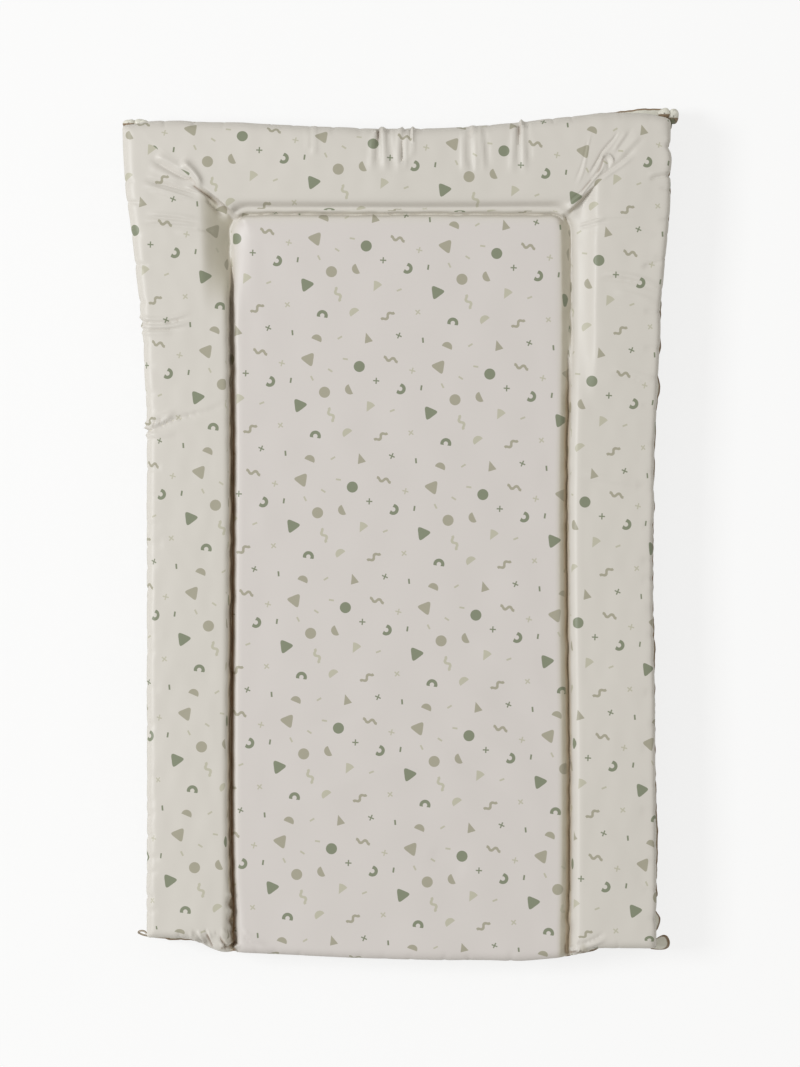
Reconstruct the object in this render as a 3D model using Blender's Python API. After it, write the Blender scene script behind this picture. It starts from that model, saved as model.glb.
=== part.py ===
"""Changing mat: a printed film cover over a foam pad with raised bolsters at its sides and head.

+X runs across the mat, +Y from the foot to the head and +Z up. The origin is under the middle
of the mat, on the surface that it rests on. Every size is in metres.
"""

import collections
import math

import bmesh
import bpy
from mathutils import Vector

LEFT, RIGHT = -1, 1
FOOT, HEAD = -1, 1

# Plan of the mat
PAD_WIDTH = 0.3032
PAD_LENGTH = 0.6740
SIDE_BOLSTER_WIDTH = 0.0770
HEAD_BOLSTER_LENGTH = 0.0740

# How the stuffed outline leaves the plain rectangle
LEFT_HEAD_FLARE = 0.0220
LEFT_FLARE_RUN = 0.2700
RIGHT_HEAD_FLARE = 0.0163
RIGHT_FLARE_RUN = 0.3000
RIGHT_FOOT_FLARE = 0.0055
RIGHT_FOOT_FLARE_RUN = 0.4000
LEFT_CORNER_REACH = 0.0090
RIGHT_CORNER_REACH = 0.0205
CORNER_REACH_POWER = 1.3
LEFT_PAD_DRAW = 0.0085
RIGHT_PAD_DRAW = 0.0035
LEFT_BOLSTER_DRAW = 0.0115
RIGHT_BOLSTER_DRAW = 0.0085
BOLSTER_DRAW_RUN = 0.0300
FOOT_DRAW_RUN = 0.1200
GROOVE_CORNER_PULL = 0.0045
GROOVE_CORNER_RUN = 0.0160

# Heights above the surface that the mat lies on
SEAM_HEIGHT = 0.0225
GROOVE_HEIGHT = 0.0420
HEAD_GROOVE_HEIGHT = 0.0550
PAD_HEIGHT = 0.0600
BOLSTER_HEIGHT = 0.0690

# Lengthwise lines of a side bolster, counted out from its groove
SIDE_WALL_FOOT = 0.0015
SIDE_WALL_TOP = 0.0040
SIDE_SHOULDER = 0.0125
SIDE_RISE_SHARES = (0, 0.12, 0.74, 0.93, 1, 0.965)
OPEN_RISE_SHARES = (0, 0.05, 0.25, 0.78, 1, 0.934)
OPENING_RUN = 0.1100

# Crosswise lines of the head bolster, counted out from its groove
WELT_OUT = 0.0045
SLOPE_FOOT = 0.0085
HEAD_SHOULDER = 0.0220
HEAD_RISE_SHARES = (0, 0.32, 0.28, 0.90, 1, 0.934)

# Lines of the pad, counted in from the groove
PAD_EDGE = 0.0030
PAD_SHOULDER = 0.0090
PAD_RISE_SHARES = (0, 0.66, 0.93, 1)
PAD_MIDDLE_ROWS = 6

# The crease where the side and head bolsters meet at a mitre
MITRE_CREASE_DEPTH = 0.0050
MITRE_CREASE_SHARES = (0, 0, 0.6, 1, 0.4, 0)

# The rounded outer edge: rings from the flat top out to the drawn-in seam
EDGE_ROUNDING = 0.0140
EDGE_TURN = 0.0045
SEAM_DRAW = 0.0040
COVER_RISE_SHARES = (1, 0.88, 0.48, 0)
BASE_TURN = 0.0075
BASE_DROP_SHARES = (1, 0.85, 0.47, 0)

# Films, welds and clearances
FILM = 0.0004
CLEARANCE = 0.0003
SEAM_PLIES = 0.0008
SEAM_WIDTH = 0.0070
SEAM_EAR = 0.0030
SIDE_SEAM_TILTS = {LEFT: math.radians(65), RIGHT: math.radians(20)}
END_SEAM_TILTS = {FOOT: math.radians(60), HEAD: math.radians(20)}
WEB_PLIES = 0.0008
WADDING_AT_EDGE = 0.0020
VENT_RADIUS = 0.0020
VENT_SPACING_X = 0.2200
VENT_SPACING_Y = 0.5000
VENT_OVERRUN = 0.0050

GROOVE_X = PAD_WIDTH / 2
EDGE_X = GROOVE_X + SIDE_BOLSTER_WIDTH
WHOLE_LENGTH = PAD_LENGTH + HEAD_BOLSTER_LENGTH + RIGHT_CORNER_REACH
FOOT_Y = -WHOLE_LENGTH / 2
GROOVE_Y = FOOT_Y + PAD_LENGTH
HEAD_Y = GROOVE_Y + HEAD_BOLSTER_LENGTH
COVER_RIM = SEAM_HEIGHT + SEAM_PLIES / 2 + CLEARANCE
BASE_RIM = SEAM_HEIGHT - SEAM_PLIES / 2 - CLEARANCE
LINING = FILM + CLEARANCE
PAD_EDGE_HEIGHT = GROOVE_HEIGHT + (PAD_HEIGHT - GROOVE_HEIGHT) * PAD_RISE_SHARES[1]
WADDING_FLOOR = PAD_EDGE_HEIGHT - LINING - WADDING_AT_EDGE
SLAB_TOP = WADDING_FLOOR - CLEARANCE
COVER_INSETS = (EDGE_ROUNDING, EDGE_TURN, 0, SEAM_DRAW)
BASE_INSETS = (EDGE_ROUNDING, BASE_TURN, SEAM_DRAW, SEAM_DRAW)

HEAD_FLARES = {LEFT: LEFT_HEAD_FLARE, RIGHT: RIGHT_HEAD_FLARE}
FLARE_RUNS = {LEFT: LEFT_FLARE_RUN, RIGHT: RIGHT_FLARE_RUN}
FOOT_FLARES = {LEFT: 0, RIGHT: RIGHT_FOOT_FLARE}
CORNER_REACHES = {LEFT: LEFT_CORNER_REACH, RIGHT: RIGHT_CORNER_REACH}
PAD_DRAWS = {LEFT: LEFT_PAD_DRAW, RIGHT: RIGHT_PAD_DRAW}
BOLSTER_DRAWS = {LEFT: LEFT_BOLSTER_DRAW, RIGHT: RIGHT_BOLSTER_DRAW}

# A line of the surface grid. bank counts lines out from the groove and is negative on the pad;
# ring counts lines out round the edge, from 0 at the flat top to 3 at the seam.
Line = collections.namedtuple("Line", "place bank ring side")
INNERMOST_BANK = -3
EDGE_BANK = 5
BULGE_RING = 2
SEAM_RING = 3


def half_of_columns(side):
    """The lengthwise lines of one half, from the pad out to the seam."""
    places = [(PAD_WIDTH / 4, INNERMOST_BANK), (GROOVE_X - PAD_SHOULDER, -2), (GROOVE_X - PAD_EDGE, -1)]
    outs = (0, SIDE_WALL_FOOT, SIDE_WALL_TOP, SIDE_SHOULDER, SIDE_BOLSTER_WIDTH / 2)
    places += [(GROOVE_X + out, bank) for bank, out in enumerate(outs)]
    half = [Line(side * place, bank, 0, side) for place, bank in places]
    corner = side * (EDGE_X - EDGE_ROUNDING)
    return half + [Line(corner, EDGE_BANK + ring, ring, side) for ring in range(SEAM_RING + 1)]


def all_rows():
    """The crosswise lines, from the seam at the foot to the seam at the head."""
    first = FOOT_Y + EDGE_ROUNDING
    last = GROOVE_Y - PAD_SHOULDER
    rows = [Line(first, INNERMOST_BANK, ring, FOOT) for ring in range(SEAM_RING, -1, -1)]
    for number in range(1, PAD_MIDDLE_ROWS + 1):
        place = first + (last - first) * number / (PAD_MIDDLE_ROWS + 1)
        rows.append(Line(place, INNERMOST_BANK, 0, HEAD))
    rows += [Line(last, -2, 0, HEAD), Line(GROOVE_Y - PAD_EDGE, -1, 0, HEAD)]
    outs = (0, WELT_OUT, SLOPE_FOOT, HEAD_SHOULDER, (HEAD_SHOULDER + HEAD_BOLSTER_LENGTH) / 2)
    rows += [Line(GROOVE_Y + out, bank, 0, HEAD) for bank, out in enumerate(outs)]
    corner = HEAD_Y - EDGE_ROUNDING
    return rows + [Line(corner, EDGE_BANK + ring, ring, HEAD) for ring in range(SEAM_RING + 1)]


COLUMNS = half_of_columns(LEFT)[::-1] + [Line(0, INNERMOST_BANK, 0, RIGHT)] + half_of_columns(RIGHT)
ROWS = all_rows()


def smooth(share):
    """0 up to 1 in an S, level at both ends."""
    share = min(max(share, 0), 1)
    return share * share * (3 - 2 * share)


def outline(x, y):
    """Where a point of the plain rectangular plan lies on the stuffed mat."""
    side = LEFT if x < 0 else RIGHT
    across = abs(x)
    from_corner = math.hypot(across - GROOVE_X, y - GROOVE_Y)
    pull = GROOVE_CORNER_PULL * math.exp(-((from_corner / GROOVE_CORNER_RUN) ** 2))
    out = across - pull
    along = y - pull
    if across > GROOVE_X:
        reach = (across - GROOVE_X) / SIDE_BOLSTER_WIDTH
        run = FLARE_RUNS[side]
        out += reach * HEAD_FLARES[side] * smooth((y - HEAD_Y + run) / run)
        out += reach * FOOT_FLARES[side] * smooth((FOOT_Y + RIGHT_FOOT_FLARE_RUN - y) / RIGHT_FOOT_FLARE_RUN)
    if y > GROOVE_Y:
        corner_share = (across / EDGE_X) ** CORNER_REACH_POWER
        along += (y - GROOVE_Y) / HEAD_BOLSTER_LENGTH * CORNER_REACHES[side] * corner_share
    if y < FOOT_Y + FOOT_DRAW_RUN:
        draw = PAD_DRAWS[side] * smooth(across / GROOVE_X)
        draw += BOLSTER_DRAWS[side] * smooth((across - GROOVE_X) / BOLSTER_DRAW_RUN)
        along += draw * (FOOT_Y + FOOT_DRAW_RUN - y) / FOOT_DRAW_RUN
    return side * out, along


def in_plan(column, row, insets):
    """The place of a crossing of two lines, its rings turned round the mat's corners."""
    x, y = column.place, row.place
    ring = max(column.ring, row.ring)
    if ring:
        reach = (EDGE_ROUNDING - insets[ring]) / math.hypot(column.ring, row.ring)
        x += column.side * reach * column.ring
        y += row.side * reach * row.ring
    return outline(x, y)


def opening(row):
    """0 where a side groove is deep and tight, up to 1 where it opens towards the head."""
    return smooth((row.place - GROOVE_Y + OPENING_RUN) / OPENING_RUN)


def groove_height(row):
    return GROOVE_HEIGHT + (HEAD_GROOVE_HEIGHT - GROOVE_HEIGHT) * opening(row)


def side_height(bank, row):
    tight, wide = SIDE_RISE_SHARES[min(bank, EDGE_BANK)], OPEN_RISE_SHARES[min(bank, EDGE_BANK)]
    groove = groove_height(row)
    return groove + (BOLSTER_HEIGHT - groove) * (tight + (wide - tight) * opening(row))


def head_height(bank):
    share = HEAD_RISE_SHARES[min(bank, EDGE_BANK)]
    return HEAD_GROOVE_HEIGHT + (BOLSTER_HEIGHT - HEAD_GROOVE_HEIGHT) * share


def form_height(column, row):
    """Height of the pad, groove or bolster, before the outer edge is rounded."""
    if max(column.bank, row.bank) <= 0:
        groove = groove_height(row)
        return groove + (PAD_HEIGHT - groove) * PAD_RISE_SHARES[-max(column.bank, row.bank)]
    if column.bank > row.bank:
        return side_height(column.bank, row)
    if row.bank > column.bank:
        return head_height(row.bank)
    crease = MITRE_CREASE_DEPTH * MITRE_CREASE_SHARES[min(row.bank, EDGE_BANK)]
    return min(side_height(row.bank, row), head_height(row.bank)) - crease


def cover_height(column, row):
    share = COVER_RISE_SHARES[max(column.ring, row.ring)]
    return COVER_RIM + (form_height(column, row) - COVER_RIM) * share


def base_height(column, row):
    return BASE_RIM * (1 - BASE_DROP_SHARES[max(column.ring, row.ring)])


def surface(height, insets):
    """A grid with a point at each crossing of the lines, its cells split towards the corners."""
    mesh = bmesh.new()
    column_of = mesh.verts.layers.int.new("column")
    row_of = mesh.verts.layers.int.new("row")
    across, along = len(COLUMNS) - 1, len(ROWS) - 1
    bmesh.ops.create_grid(mesh, x_segments=across, y_segments=along, size=1)
    for vert in mesh.verts:
        vert[column_of] = round((vert.co.x + 1) / 2 * across)
        vert[row_of] = round((vert.co.y + 1) / 2 * along)
        column, row = COLUMNS[vert[column_of]], ROWS[vert[row_of]]
        vert.co = (*in_plan(column, row, insets), height(column, row))
    for face in mesh.faces[:]:
        corners = sorted(face.verts, key=lambda vert: (vert[column_of], vert[row_of]))
        left = COLUMNS[corners[0][column_of]].side
        low = ROWS[corners[0][row_of]].side
        ends = (corners[0], corners[3]) if left == low else (corners[1], corners[2])
        bmesh.utils.face_split(face, *ends)
    mesh.normal_update()
    return mesh


def lines_of(mesh, vert):
    column = COLUMNS[vert[mesh.verts.layers.int["column"]]]
    return column, ROWS[vert[mesh.verts.layers.int["row"]]]


def place_of(mesh, vert):
    return vert[mesh.verts.layers.int["column"]], vert[mesh.verts.layers.int["row"]]


def shifted(mesh, distance):
    """Each crossing's point moved along its normal, by its pair of line numbers."""
    return {place_of(mesh, vert): vert.co + vert.normal * distance for vert in mesh.verts}


def lining_points():
    """The space inside the films: its top under the cover and its bottom on the base."""
    cover = surface(cover_height, COVER_INSETS)
    base = surface(base_height, BASE_INSETS)
    top, bottom = shifted(cover, -LINING), shifted(base, LINING)
    cover.free()
    base.free()
    return top, bottom


def node(name, mesh, colour, roughness):
    """Makes the object of one sub-part, with its own material."""
    data = bpy.data.meshes.new(name)
    mesh.to_mesh(data)
    mesh.free()
    data.shade_smooth()
    data.set_sharp_from_angle(angle=math.radians(40))
    material = bpy.data.materials.new(name)
    material.use_nodes = True
    shader = material.node_tree.nodes["Principled BSDF"]
    shader.inputs["Base Color"].default_value = (*colour, 1)
    shader.inputs["Roughness"].default_value = roughness
    shader.inputs["Metallic"].default_value = 0
    data.materials.append(material)
    made = bpy.data.objects.new(name, data)
    bpy.context.scene.collection.objects.link(made)
    return made


def thicken(made, thickness, offset):
    film = made.modifiers.new("film", "SOLIDIFY")
    film.thickness = thickness
    film.offset = offset
    film.use_even_offset = False


def flatten(mesh, height):
    """Joins the faces that lie level at this height into one."""
    near = CLEARANCE / 100
    level = [face for face in mesh.faces if all(abs(vert.co.z - height) < near for vert in face.verts)]
    bmesh.ops.dissolve_faces(mesh, faces=level, use_verts=True)


def filling(name, wanted, tops, bottoms, mitre_side, colour):
    """A solid between two sets of points, over the cells whose line pairs are wanted."""
    mesh = surface(cover_height, COVER_INSETS)
    unwanted = [face for face in mesh.faces if not wanted([lines_of(mesh, vert) for vert in face.verts])]
    bmesh.ops.delete(mesh, geom=unwanted, context="FACES")
    upper = mesh.verts[:]
    extruded = bmesh.ops.extrude_face_region(mesh, geom=mesh.faces[:])
    lower = [part for part in extruded["geom"] if isinstance(part, bmesh.types.BMVert)]
    for verts, points in ((upper, tops), (lower, bottoms)):
        for vert in verts:
            column, row = lines_of(mesh, vert)
            apart = Vector((0, 0, 0))
            if column.bank == row.bank:
                apart = Vector((column.side, -1, 0)) * mitre_side * CLEARANCE / 2
            vert.co = points[place_of(mesh, vert)] + apart
    bmesh.ops.recalc_face_normals(mesh, faces=mesh.faces)
    if mesh.calc_volume(signed=True) < 0:
        bmesh.ops.reverse_faces(mesh, faces=mesh.faces)
    for height in (LINING, SLAB_TOP, WADDING_FLOOR):
        flatten(mesh, height)
    return node(name, mesh, colour, roughness=0.9)


def top_cover():
    """Printed film, shaped by the foam and pulled down into the groove."""
    made = node("top_cover", surface(cover_height, COVER_INSETS), (0.61, 0.58, 0.54), roughness=0.35)
    thicken(made, FILM, -1)


def base_sheet():
    """Plain film that lies flat and turns up at its edges, with four small vents."""
    mesh = surface(base_height, BASE_INSETS)
    flatten(mesh, 0)
    made = node("base_sheet", mesh, (0.63, 0.61, 0.57), roughness=0.45)
    thicken(made, FILM, 1)
    cutters = bmesh.new()
    for across in (LEFT, RIGHT):
        for along in (FOOT, HEAD):
            drilled = bmesh.ops.create_cone(
                cutters, segments=16, radius1=VENT_RADIUS, radius2=VENT_RADIUS, depth=VENT_OVERRUN, cap_ends=True
            )
            centre = Vector((across * VENT_SPACING_X / 2, along * VENT_SPACING_Y / 2, 0))
            bmesh.ops.translate(cutters, verts=drilled["verts"], vec=centre)
    cutter = node("vent_cutter", cutters, (0.5, 0.5, 0.5), roughness=0.5)
    cutter.hide_render = True
    cutter.display_type = "WIRE"
    vents = made.modifiers.new("vents", "BOOLEAN")
    vents.operation = "DIFFERENCE"
    vents.solver = "EXACT"
    vents.object = cutter


def round_the_seam():
    """The outermost crossings in order, anticlockwise from the left foot corner."""
    right, head = len(COLUMNS) - 1, len(ROWS) - 1
    turn = [(column, 0) for column in range(right)]
    turn += [(right, row) for row in range(head)]
    turn += [(column, head) for column in range(right, 0, -1)]
    return turn + [(0, row) for row in range(head, 0, -1)]


def edge_seam():
    """Weld band of both films: level between their rims, then hanging a little outwards."""
    mesh = bmesh.new()
    inner, bend, outer = [], [], []
    for column_number, row_number in round_the_seam():
        column, row = COLUMNS[column_number], ROWS[row_number]
        side_share = 0.5 if column.ring == row.ring else column.ring / (column.ring + row.ring)
        tilt = SIDE_SEAM_TILTS[column.side] * side_share + END_SEAM_TILTS[row.side] * (1 - side_share)
        width = SEAM_WIDTH + SEAM_EAR * min(column.ring, row.ring) / SEAM_RING
        turn = SEAM_DRAW - SEAM_PLIES
        steps = ((inner, SEAM_DRAW + FILM / 2, 0), (bend, turn, 0))
        steps += ((outer, turn - width * math.cos(tilt), width * math.sin(tilt)),)
        for points, inset, drop in steps:
            spot = in_plan(column, row, (0, 0, 0, inset))
            points.append(mesh.verts.new((*spot, SEAM_HEIGHT - drop)))
    for near, far in ((inner, bend), (bend, outer)):
        for number in range(len(near)):
            mesh.faces.new((near[number - 1], near[number], far[number], far[number - 1]))
    bmesh.ops.recalc_face_normals(mesh, faces=mesh.faces)
    made = node("edge_seam", mesh, (0.52, 0.47, 0.41), roughness=0.4)
    thicken(made, SEAM_PLIES, 0)


def groove_web(tops, bottoms):
    """Upright film strip that holds the groove down to the base."""
    left, right = COLUMNS.index(column_at(LEFT)), COLUMNS.index(column_at(RIGHT))
    head = next(number for number, row in enumerate(ROWS) if row.bank == 0)
    first = next(number for number, row in enumerate(ROWS) if row.ring == 0)
    path = [(left, row) for row in range(first, head)]
    path += [(column, head) for column in range(left, right)]
    path += [(right, row) for row in range(head, first - 1, -1)]
    mesh = bmesh.new()
    upper = [mesh.verts.new(tops[place]) for place in path]
    lower = [mesh.verts.new((top.co.x, top.co.y, bottoms[place].z)) for top, place in zip(upper, path)]
    for number in range(1, len(path)):
        mesh.faces.new((upper[number - 1], upper[number], lower[number], lower[number - 1]))
    bmesh.ops.recalc_face_normals(mesh, faces=mesh.faces)
    made = node("groove_web", mesh, (0.60, 0.58, 0.55), roughness=0.45)
    thicken(made, WEB_PLIES, 0)


def column_at(side):
    return next(column for column in COLUMNS if column.bank == 0 and column.side == side)


def in_side_bolster(side):
    def wanted(pairs):
        here = all(column.side == side and column.bank >= 1 for column, row in pairs)
        return here and sum(column.bank for column, row in pairs) > sum(row.bank for column, row in pairs)

    return wanted


def in_head_bolster(pairs):
    here = all(row.bank >= 1 for column, row in pairs)
    return here and sum(row.bank for column, row in pairs) > sum(column.bank for column, row in pairs)


def in_pad(pairs):
    return all(column.bank <= -1 and row.bank <= -1 for column, row in pairs)


def in_wadding(pairs):
    return in_pad(pairs) and all(row.ring <= 1 for column, row in pairs)


def slab_points(tops):
    """The lining's points cut off level at the slab's top, those past the foot edge on its wall."""
    level = {place: Vector((*point.xy, min(point.z, SLAB_TOP))) for place, point in tops.items()}
    for (column, row), point in tops.items():
        if ROWS[row].side == FOOT and ROWS[row].ring == BULGE_RING and point.z > SLAB_TOP:
            below = tops[column, row - 1]
            level[column, row] = point.lerp(below, (point.z - SLAB_TOP) / (point.z - below.z))
    return level


def main():
    for leftover in bpy.data.objects[:]:
        bpy.data.objects.remove(leftover)
    top_cover()
    base_sheet()
    edge_seam()
    tops, bottoms = lining_points()
    groove_web(tops, bottoms)
    wadding_floor = {place: Vector((*point.xy, WADDING_FLOOR)) for place, point in tops.items()}
    foam, fibre = (0.72, 0.70, 0.62), (0.80, 0.80, 0.78)
    filling("centre_foam", in_pad, slab_points(tops), bottoms, 0, foam)
    filling("centre_wadding", in_wadding, tops, wadding_floor, 0, fibre)
    filling("left_bolster_foam", in_side_bolster(LEFT), tops, bottoms, 1, foam)
    filling("right_bolster_foam", in_side_bolster(RIGHT), tops, bottoms, 1, foam)
    filling("head_bolster_foam", in_head_bolster, tops, bottoms, -1, foam)


main()
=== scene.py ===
import math

import bpy
import numpy as np
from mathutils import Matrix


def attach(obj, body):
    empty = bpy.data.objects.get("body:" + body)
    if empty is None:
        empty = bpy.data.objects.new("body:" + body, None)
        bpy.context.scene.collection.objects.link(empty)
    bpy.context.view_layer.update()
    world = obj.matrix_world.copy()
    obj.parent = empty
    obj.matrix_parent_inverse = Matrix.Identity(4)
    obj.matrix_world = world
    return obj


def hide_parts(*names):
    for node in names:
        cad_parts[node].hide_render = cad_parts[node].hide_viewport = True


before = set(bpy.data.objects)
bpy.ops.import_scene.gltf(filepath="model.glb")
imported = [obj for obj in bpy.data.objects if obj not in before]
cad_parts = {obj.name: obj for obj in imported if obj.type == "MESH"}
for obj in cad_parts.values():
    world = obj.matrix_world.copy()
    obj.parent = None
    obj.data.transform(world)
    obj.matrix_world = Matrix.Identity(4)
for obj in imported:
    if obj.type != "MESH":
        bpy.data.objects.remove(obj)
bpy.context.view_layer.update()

bpy.ops.object.select_all(action="DESELECT")

# Base film
# Plain, finely grained PVC film that lies flat under the mat and turns up at its edges to meet the
# printed cover. It is cut from the roll, pierced with four small vents and drawn into puckers by
# the weld that runs all round it.
LEFT, RIGHT = -1, 1
EDGE_X = 0.2286
FOOT_Y = -0.38425
HEAD_Y = 0.36375
GROOVE_X = 0.1516
GROOVE_Y = 0.28975
EDGE_ROUNDING = 0.0140
SEAM_HEIGHT = 0.0225
BASE_RIM = 0.0218
# the stuffed outline, in millimetres: how far its sides stand out at places up the mat, how far its
# head reaches and how far its foot is drawn in at places across
WIDENED = {
    LEFT: (
        (-385, -0.4), (60, -0.4), (103, -0.2), (140, 1.3), (176, 3.2), (203, 5.8), (230, 8.4),
        (257, 11.7), (275, 14.1), (293, 16.4), (311, 18.8), (329, 20.4), (347, 21.2), (364, 21.8),
    ),
    RIGHT: (
        (-385, 3.2), (-300, 3.3), (-240, 2.9), (-196, 2.1), (-150, 2), (-106, 1), (-60, 0.3), (0, 0.2),
        (31, 1.1), (67, 1.2), (103, 2.9), (140, 4.6), (176, 6.7), (203, 7), (230, 9.6), (257, 11.7),
        (275, 13.8), (293, 15.6), (311, 16.4), (316, 16.2), (320, 14.6), (324, 16.2), (332, 16.9),
        (337, 16.2), (342, 13.8), (347, 16), (364, 16.4),
    ),
}
HEAD_REACH = (
    (-229, 5.5), (-221, 6.5), (-213, 8.6), (-199, 9.9), (-188, 9.8), (-174, 8.9), (-161, 8.6),
    (-144, 8.2), (-126, 7.2), (-90, 5.4), (-54, 3.8), (-18, 2.8), (0, 2.5), (37, 3.3), (73, 5.4),
    (109, 8.6), (136, 11.6), (161, 14.6), (176, 16.5), (191, 17.2), (206, 16.6), (217, 15), (223, 13),
    (229, 10.5),
)
FOOT_DRAW = (
    (-229, 20), (-212, 18.6), (-196, 17.6), (-190, 16.8), (-186, 15.2), (-180, 11.9), (-175, 9.3),
    (-170, 8), (-164, 7.2), (-154, 6.7), (-144, 6), (-126, 5), (-90, 3.4), (-54, 1.6), (-18, 0.5),
    (0, 0), (37, -0.5), (73, -1), (109, -1.2), (136, 0.4), (145, 1.4), (155, 3.1), (166, 5),
    (176, 7.8), (186, 10.4), (196, 10.6), (229, 10.5),
)
FOOT_DRAW_RUN = 0.120
STEP_SHARPNESS = 3
CORNER_SQUARENESS = 11
# inset from the outline and height as a share of the rim, from the flat underside out to the weld
BASE_EDGE = ((0.0140, 0), (0.0115, 0.02), (0.0088, 0.10), (0.0062, 0.28), (0.0046, 0.55), (0.0040, 1))
BASE_FILM = 0.0004
# about how high a turned edge is, for spacing its points along it
EDGE_HEIGHT = 0.03
SWELLS = 14
SWELL_SIZES = (0.75, 1.6)
COAT_ROUGHNESS = 0.25


def smooth(share):
    """0 up to 1 in an S, level at both ends."""
    share = np.clip(share, 0, 1)
    return share * share * (3 - 2 * share)


def eased(at, points):
    """A smooth curve through points of (place, value) that never overshoots them."""
    place, value = np.array(points, float).T
    run = np.diff(place)
    slope = np.diff(value) / run
    tangent = np.zeros(len(place))
    tangent[0], tangent[-1] = slope[0], slope[-1]
    turns = slope[1:] * slope[:-1] > 0
    both = np.where(turns, slope[1:] + slope[:-1], 1)
    tangent[1:-1] = np.where(turns, 2 * slope[1:] * slope[:-1] / both, 0)
    at = np.clip(at, place[0], place[-1])
    span = np.clip(np.searchsorted(place, at, side="right") - 1, 0, len(run) - 1)
    share = (at - place[span]) / run[span]
    rest = 1 - share
    ends = value[span] * (1 + 2 * share) * rest**2 + value[span + 1] * (3 - 2 * share) * share**2
    return ends + run[span] * share * rest * (tangent[span] * rest - tangent[span + 1] * share)


def by_side(x, at, tables):
    """The curve of the left side where x is under 0, and of the right side elsewhere."""
    return np.where(x < 0, eased(at, tables[LEFT]), eased(at, tables[RIGHT]))


def hump(away, width, power=2):
    """1 in the middle, fading out past the width."""
    return np.exp(-((away / width) ** power))


def mirrored(places):
    """Places from the middle out to the right, and the same to the left."""
    return np.concatenate([-places[:0:-1], places])


def spaced(stops):
    """Places from stop to stop. Each stop gives its place and the step that leads up to it."""
    places = [stops[0][0]]
    for (start, _), (end, step) in zip(stops, stops[1:]):
        count = max(1, round((end - start) / step))
        places += list(np.linspace(start, end, count + 1)[1:])
    return np.array(places)


def stuffed(x, y, turn=0):
    """Where a point of the plain rectangular plan lies on the stuffed mat. At the foot the weld (turn 1)
    steps in from pad to bolster more gently than the film above it (turn 0)."""
    side = np.where(x < 0, LEFT, RIGHT)
    across = np.abs(x)
    past = np.clip(across - GROOVE_X, 0, None)
    wide = by_side(x, y * 1000, WIDENED) / 1000
    out = across + past / (EDGE_X - GROOVE_X) * wide
    reach = eased(x * 1000, HEAD_REACH) / 1000
    along = y + np.clip((y - GROOVE_Y) / (HEAD_Y - GROOVE_Y), 0, None) * reach
    stepped = side * (np.minimum(across, GROOVE_X) + past * (1 + STEP_SHARPNESS * (1 - turn) ** 3))
    draw = eased(stepped * 1000, FOOT_DRAW) / 1000
    along += draw * np.clip((FOOT_Y + FOOT_DRAW_RUN - y) / FOOT_DRAW_RUN, 0, None)
    return side * out, along


def turned_edge(p, q, edge):
    """Plan place and share of the form's height, with the outer band of the plan turned over the edge."""
    out_x = np.clip(np.abs(p) - (EDGE_X - EDGE_ROUNDING), 0, None) / EDGE_ROUNDING
    past_head = np.clip(q - (HEAD_Y - EDGE_ROUNDING), 0, None)
    past_foot = np.clip((FOOT_Y + EDGE_ROUNDING) - q, 0, None)
    out_y = (past_head - past_foot) / EDGE_ROUNDING
    turn = np.maximum(out_x, np.abs(out_y))
    steps = np.hypot(*np.diff(np.array(edge), axis=0).T * [[1], [EDGE_HEIGHT]])
    along = np.concatenate([[0], np.cumsum(steps)]) / steps.sum()
    insets, shares = np.array(edge).T
    reach = EDGE_ROUNDING - eased(turn, list(zip(along, insets)))
    span = (out_x**CORNER_SQUARENESS + np.abs(out_y) ** CORNER_SQUARENESS) ** (1 / CORNER_SQUARENESS)
    reach = reach / np.maximum(span, 1e-9)
    x = np.sign(p) * (np.minimum(np.abs(p), EDGE_X - EDGE_ROUNDING) + reach * out_x)
    y = np.clip(q, FOOT_Y + EDGE_ROUNDING, HEAD_Y - EDGE_ROUNDING) + reach * out_y
    return *stuffed(x, y, turn), eased(turn, list(zip(along, shares))), turn


def wander(x, y, size, seed):
    """A soft unevenness between about -1 and 1 whose swells are this far apart."""
    draw = np.random.default_rng(seed)
    total = np.zeros_like(x)
    for _ in range(SWELLS):
        angle = draw.uniform(0, math.tau)
        wave = math.tau / (size * draw.uniform(*SWELL_SIZES))
        total += np.cos(wave * (x * math.cos(angle) + y * math.sin(angle)) + draw.uniform(0, math.tau))
    return total / 4


def crossing_faces(across, along):
    """The four-sided faces of a grid whose points are numbered along first."""
    first = np.arange(across - 1)[:, None] * along + np.arange(along - 1)[None, :]
    return np.stack([first, first + along, first + along + 1, first + 1], axis=-1).reshape(-1, 4)


def made_of(name, points, faces):
    """The object of one piece, smooth all over."""
    mesh = bpy.data.meshes.new(name)
    mesh.from_pydata(points.reshape(-1, 3).tolist(), [], faces.tolist())
    mesh.shade_smooth()
    piece = bpy.data.objects.new(name, mesh)
    bpy.context.scene.collection.objects.link(piece)
    return piece


def apply_all(piece):
    bpy.context.view_layer.objects.active = piece
    for modifier in list(piece.modifiers):
        bpy.ops.object.modifier_apply(modifier=modifier.name)


def give_wall(piece, thickness, offset):
    """Turns a single surface into film of this thickness, with crisp cut edges."""
    wall = piece.modifiers.new("wall", "SOLIDIFY")
    wall.thickness = thickness
    wall.offset = offset
    apply_all(piece)
    piece.data.set_sharp_from_angle(angle=math.radians(80))


def store(piece, name, values):
    """Keeps one number for each point, for the material to read."""
    layer = piece.data.attributes.new(name, "FLOAT", "POINT")
    layer.data.foreach_set("value", np.ascontiguousarray(values, np.float32).reshape(-1))


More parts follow.
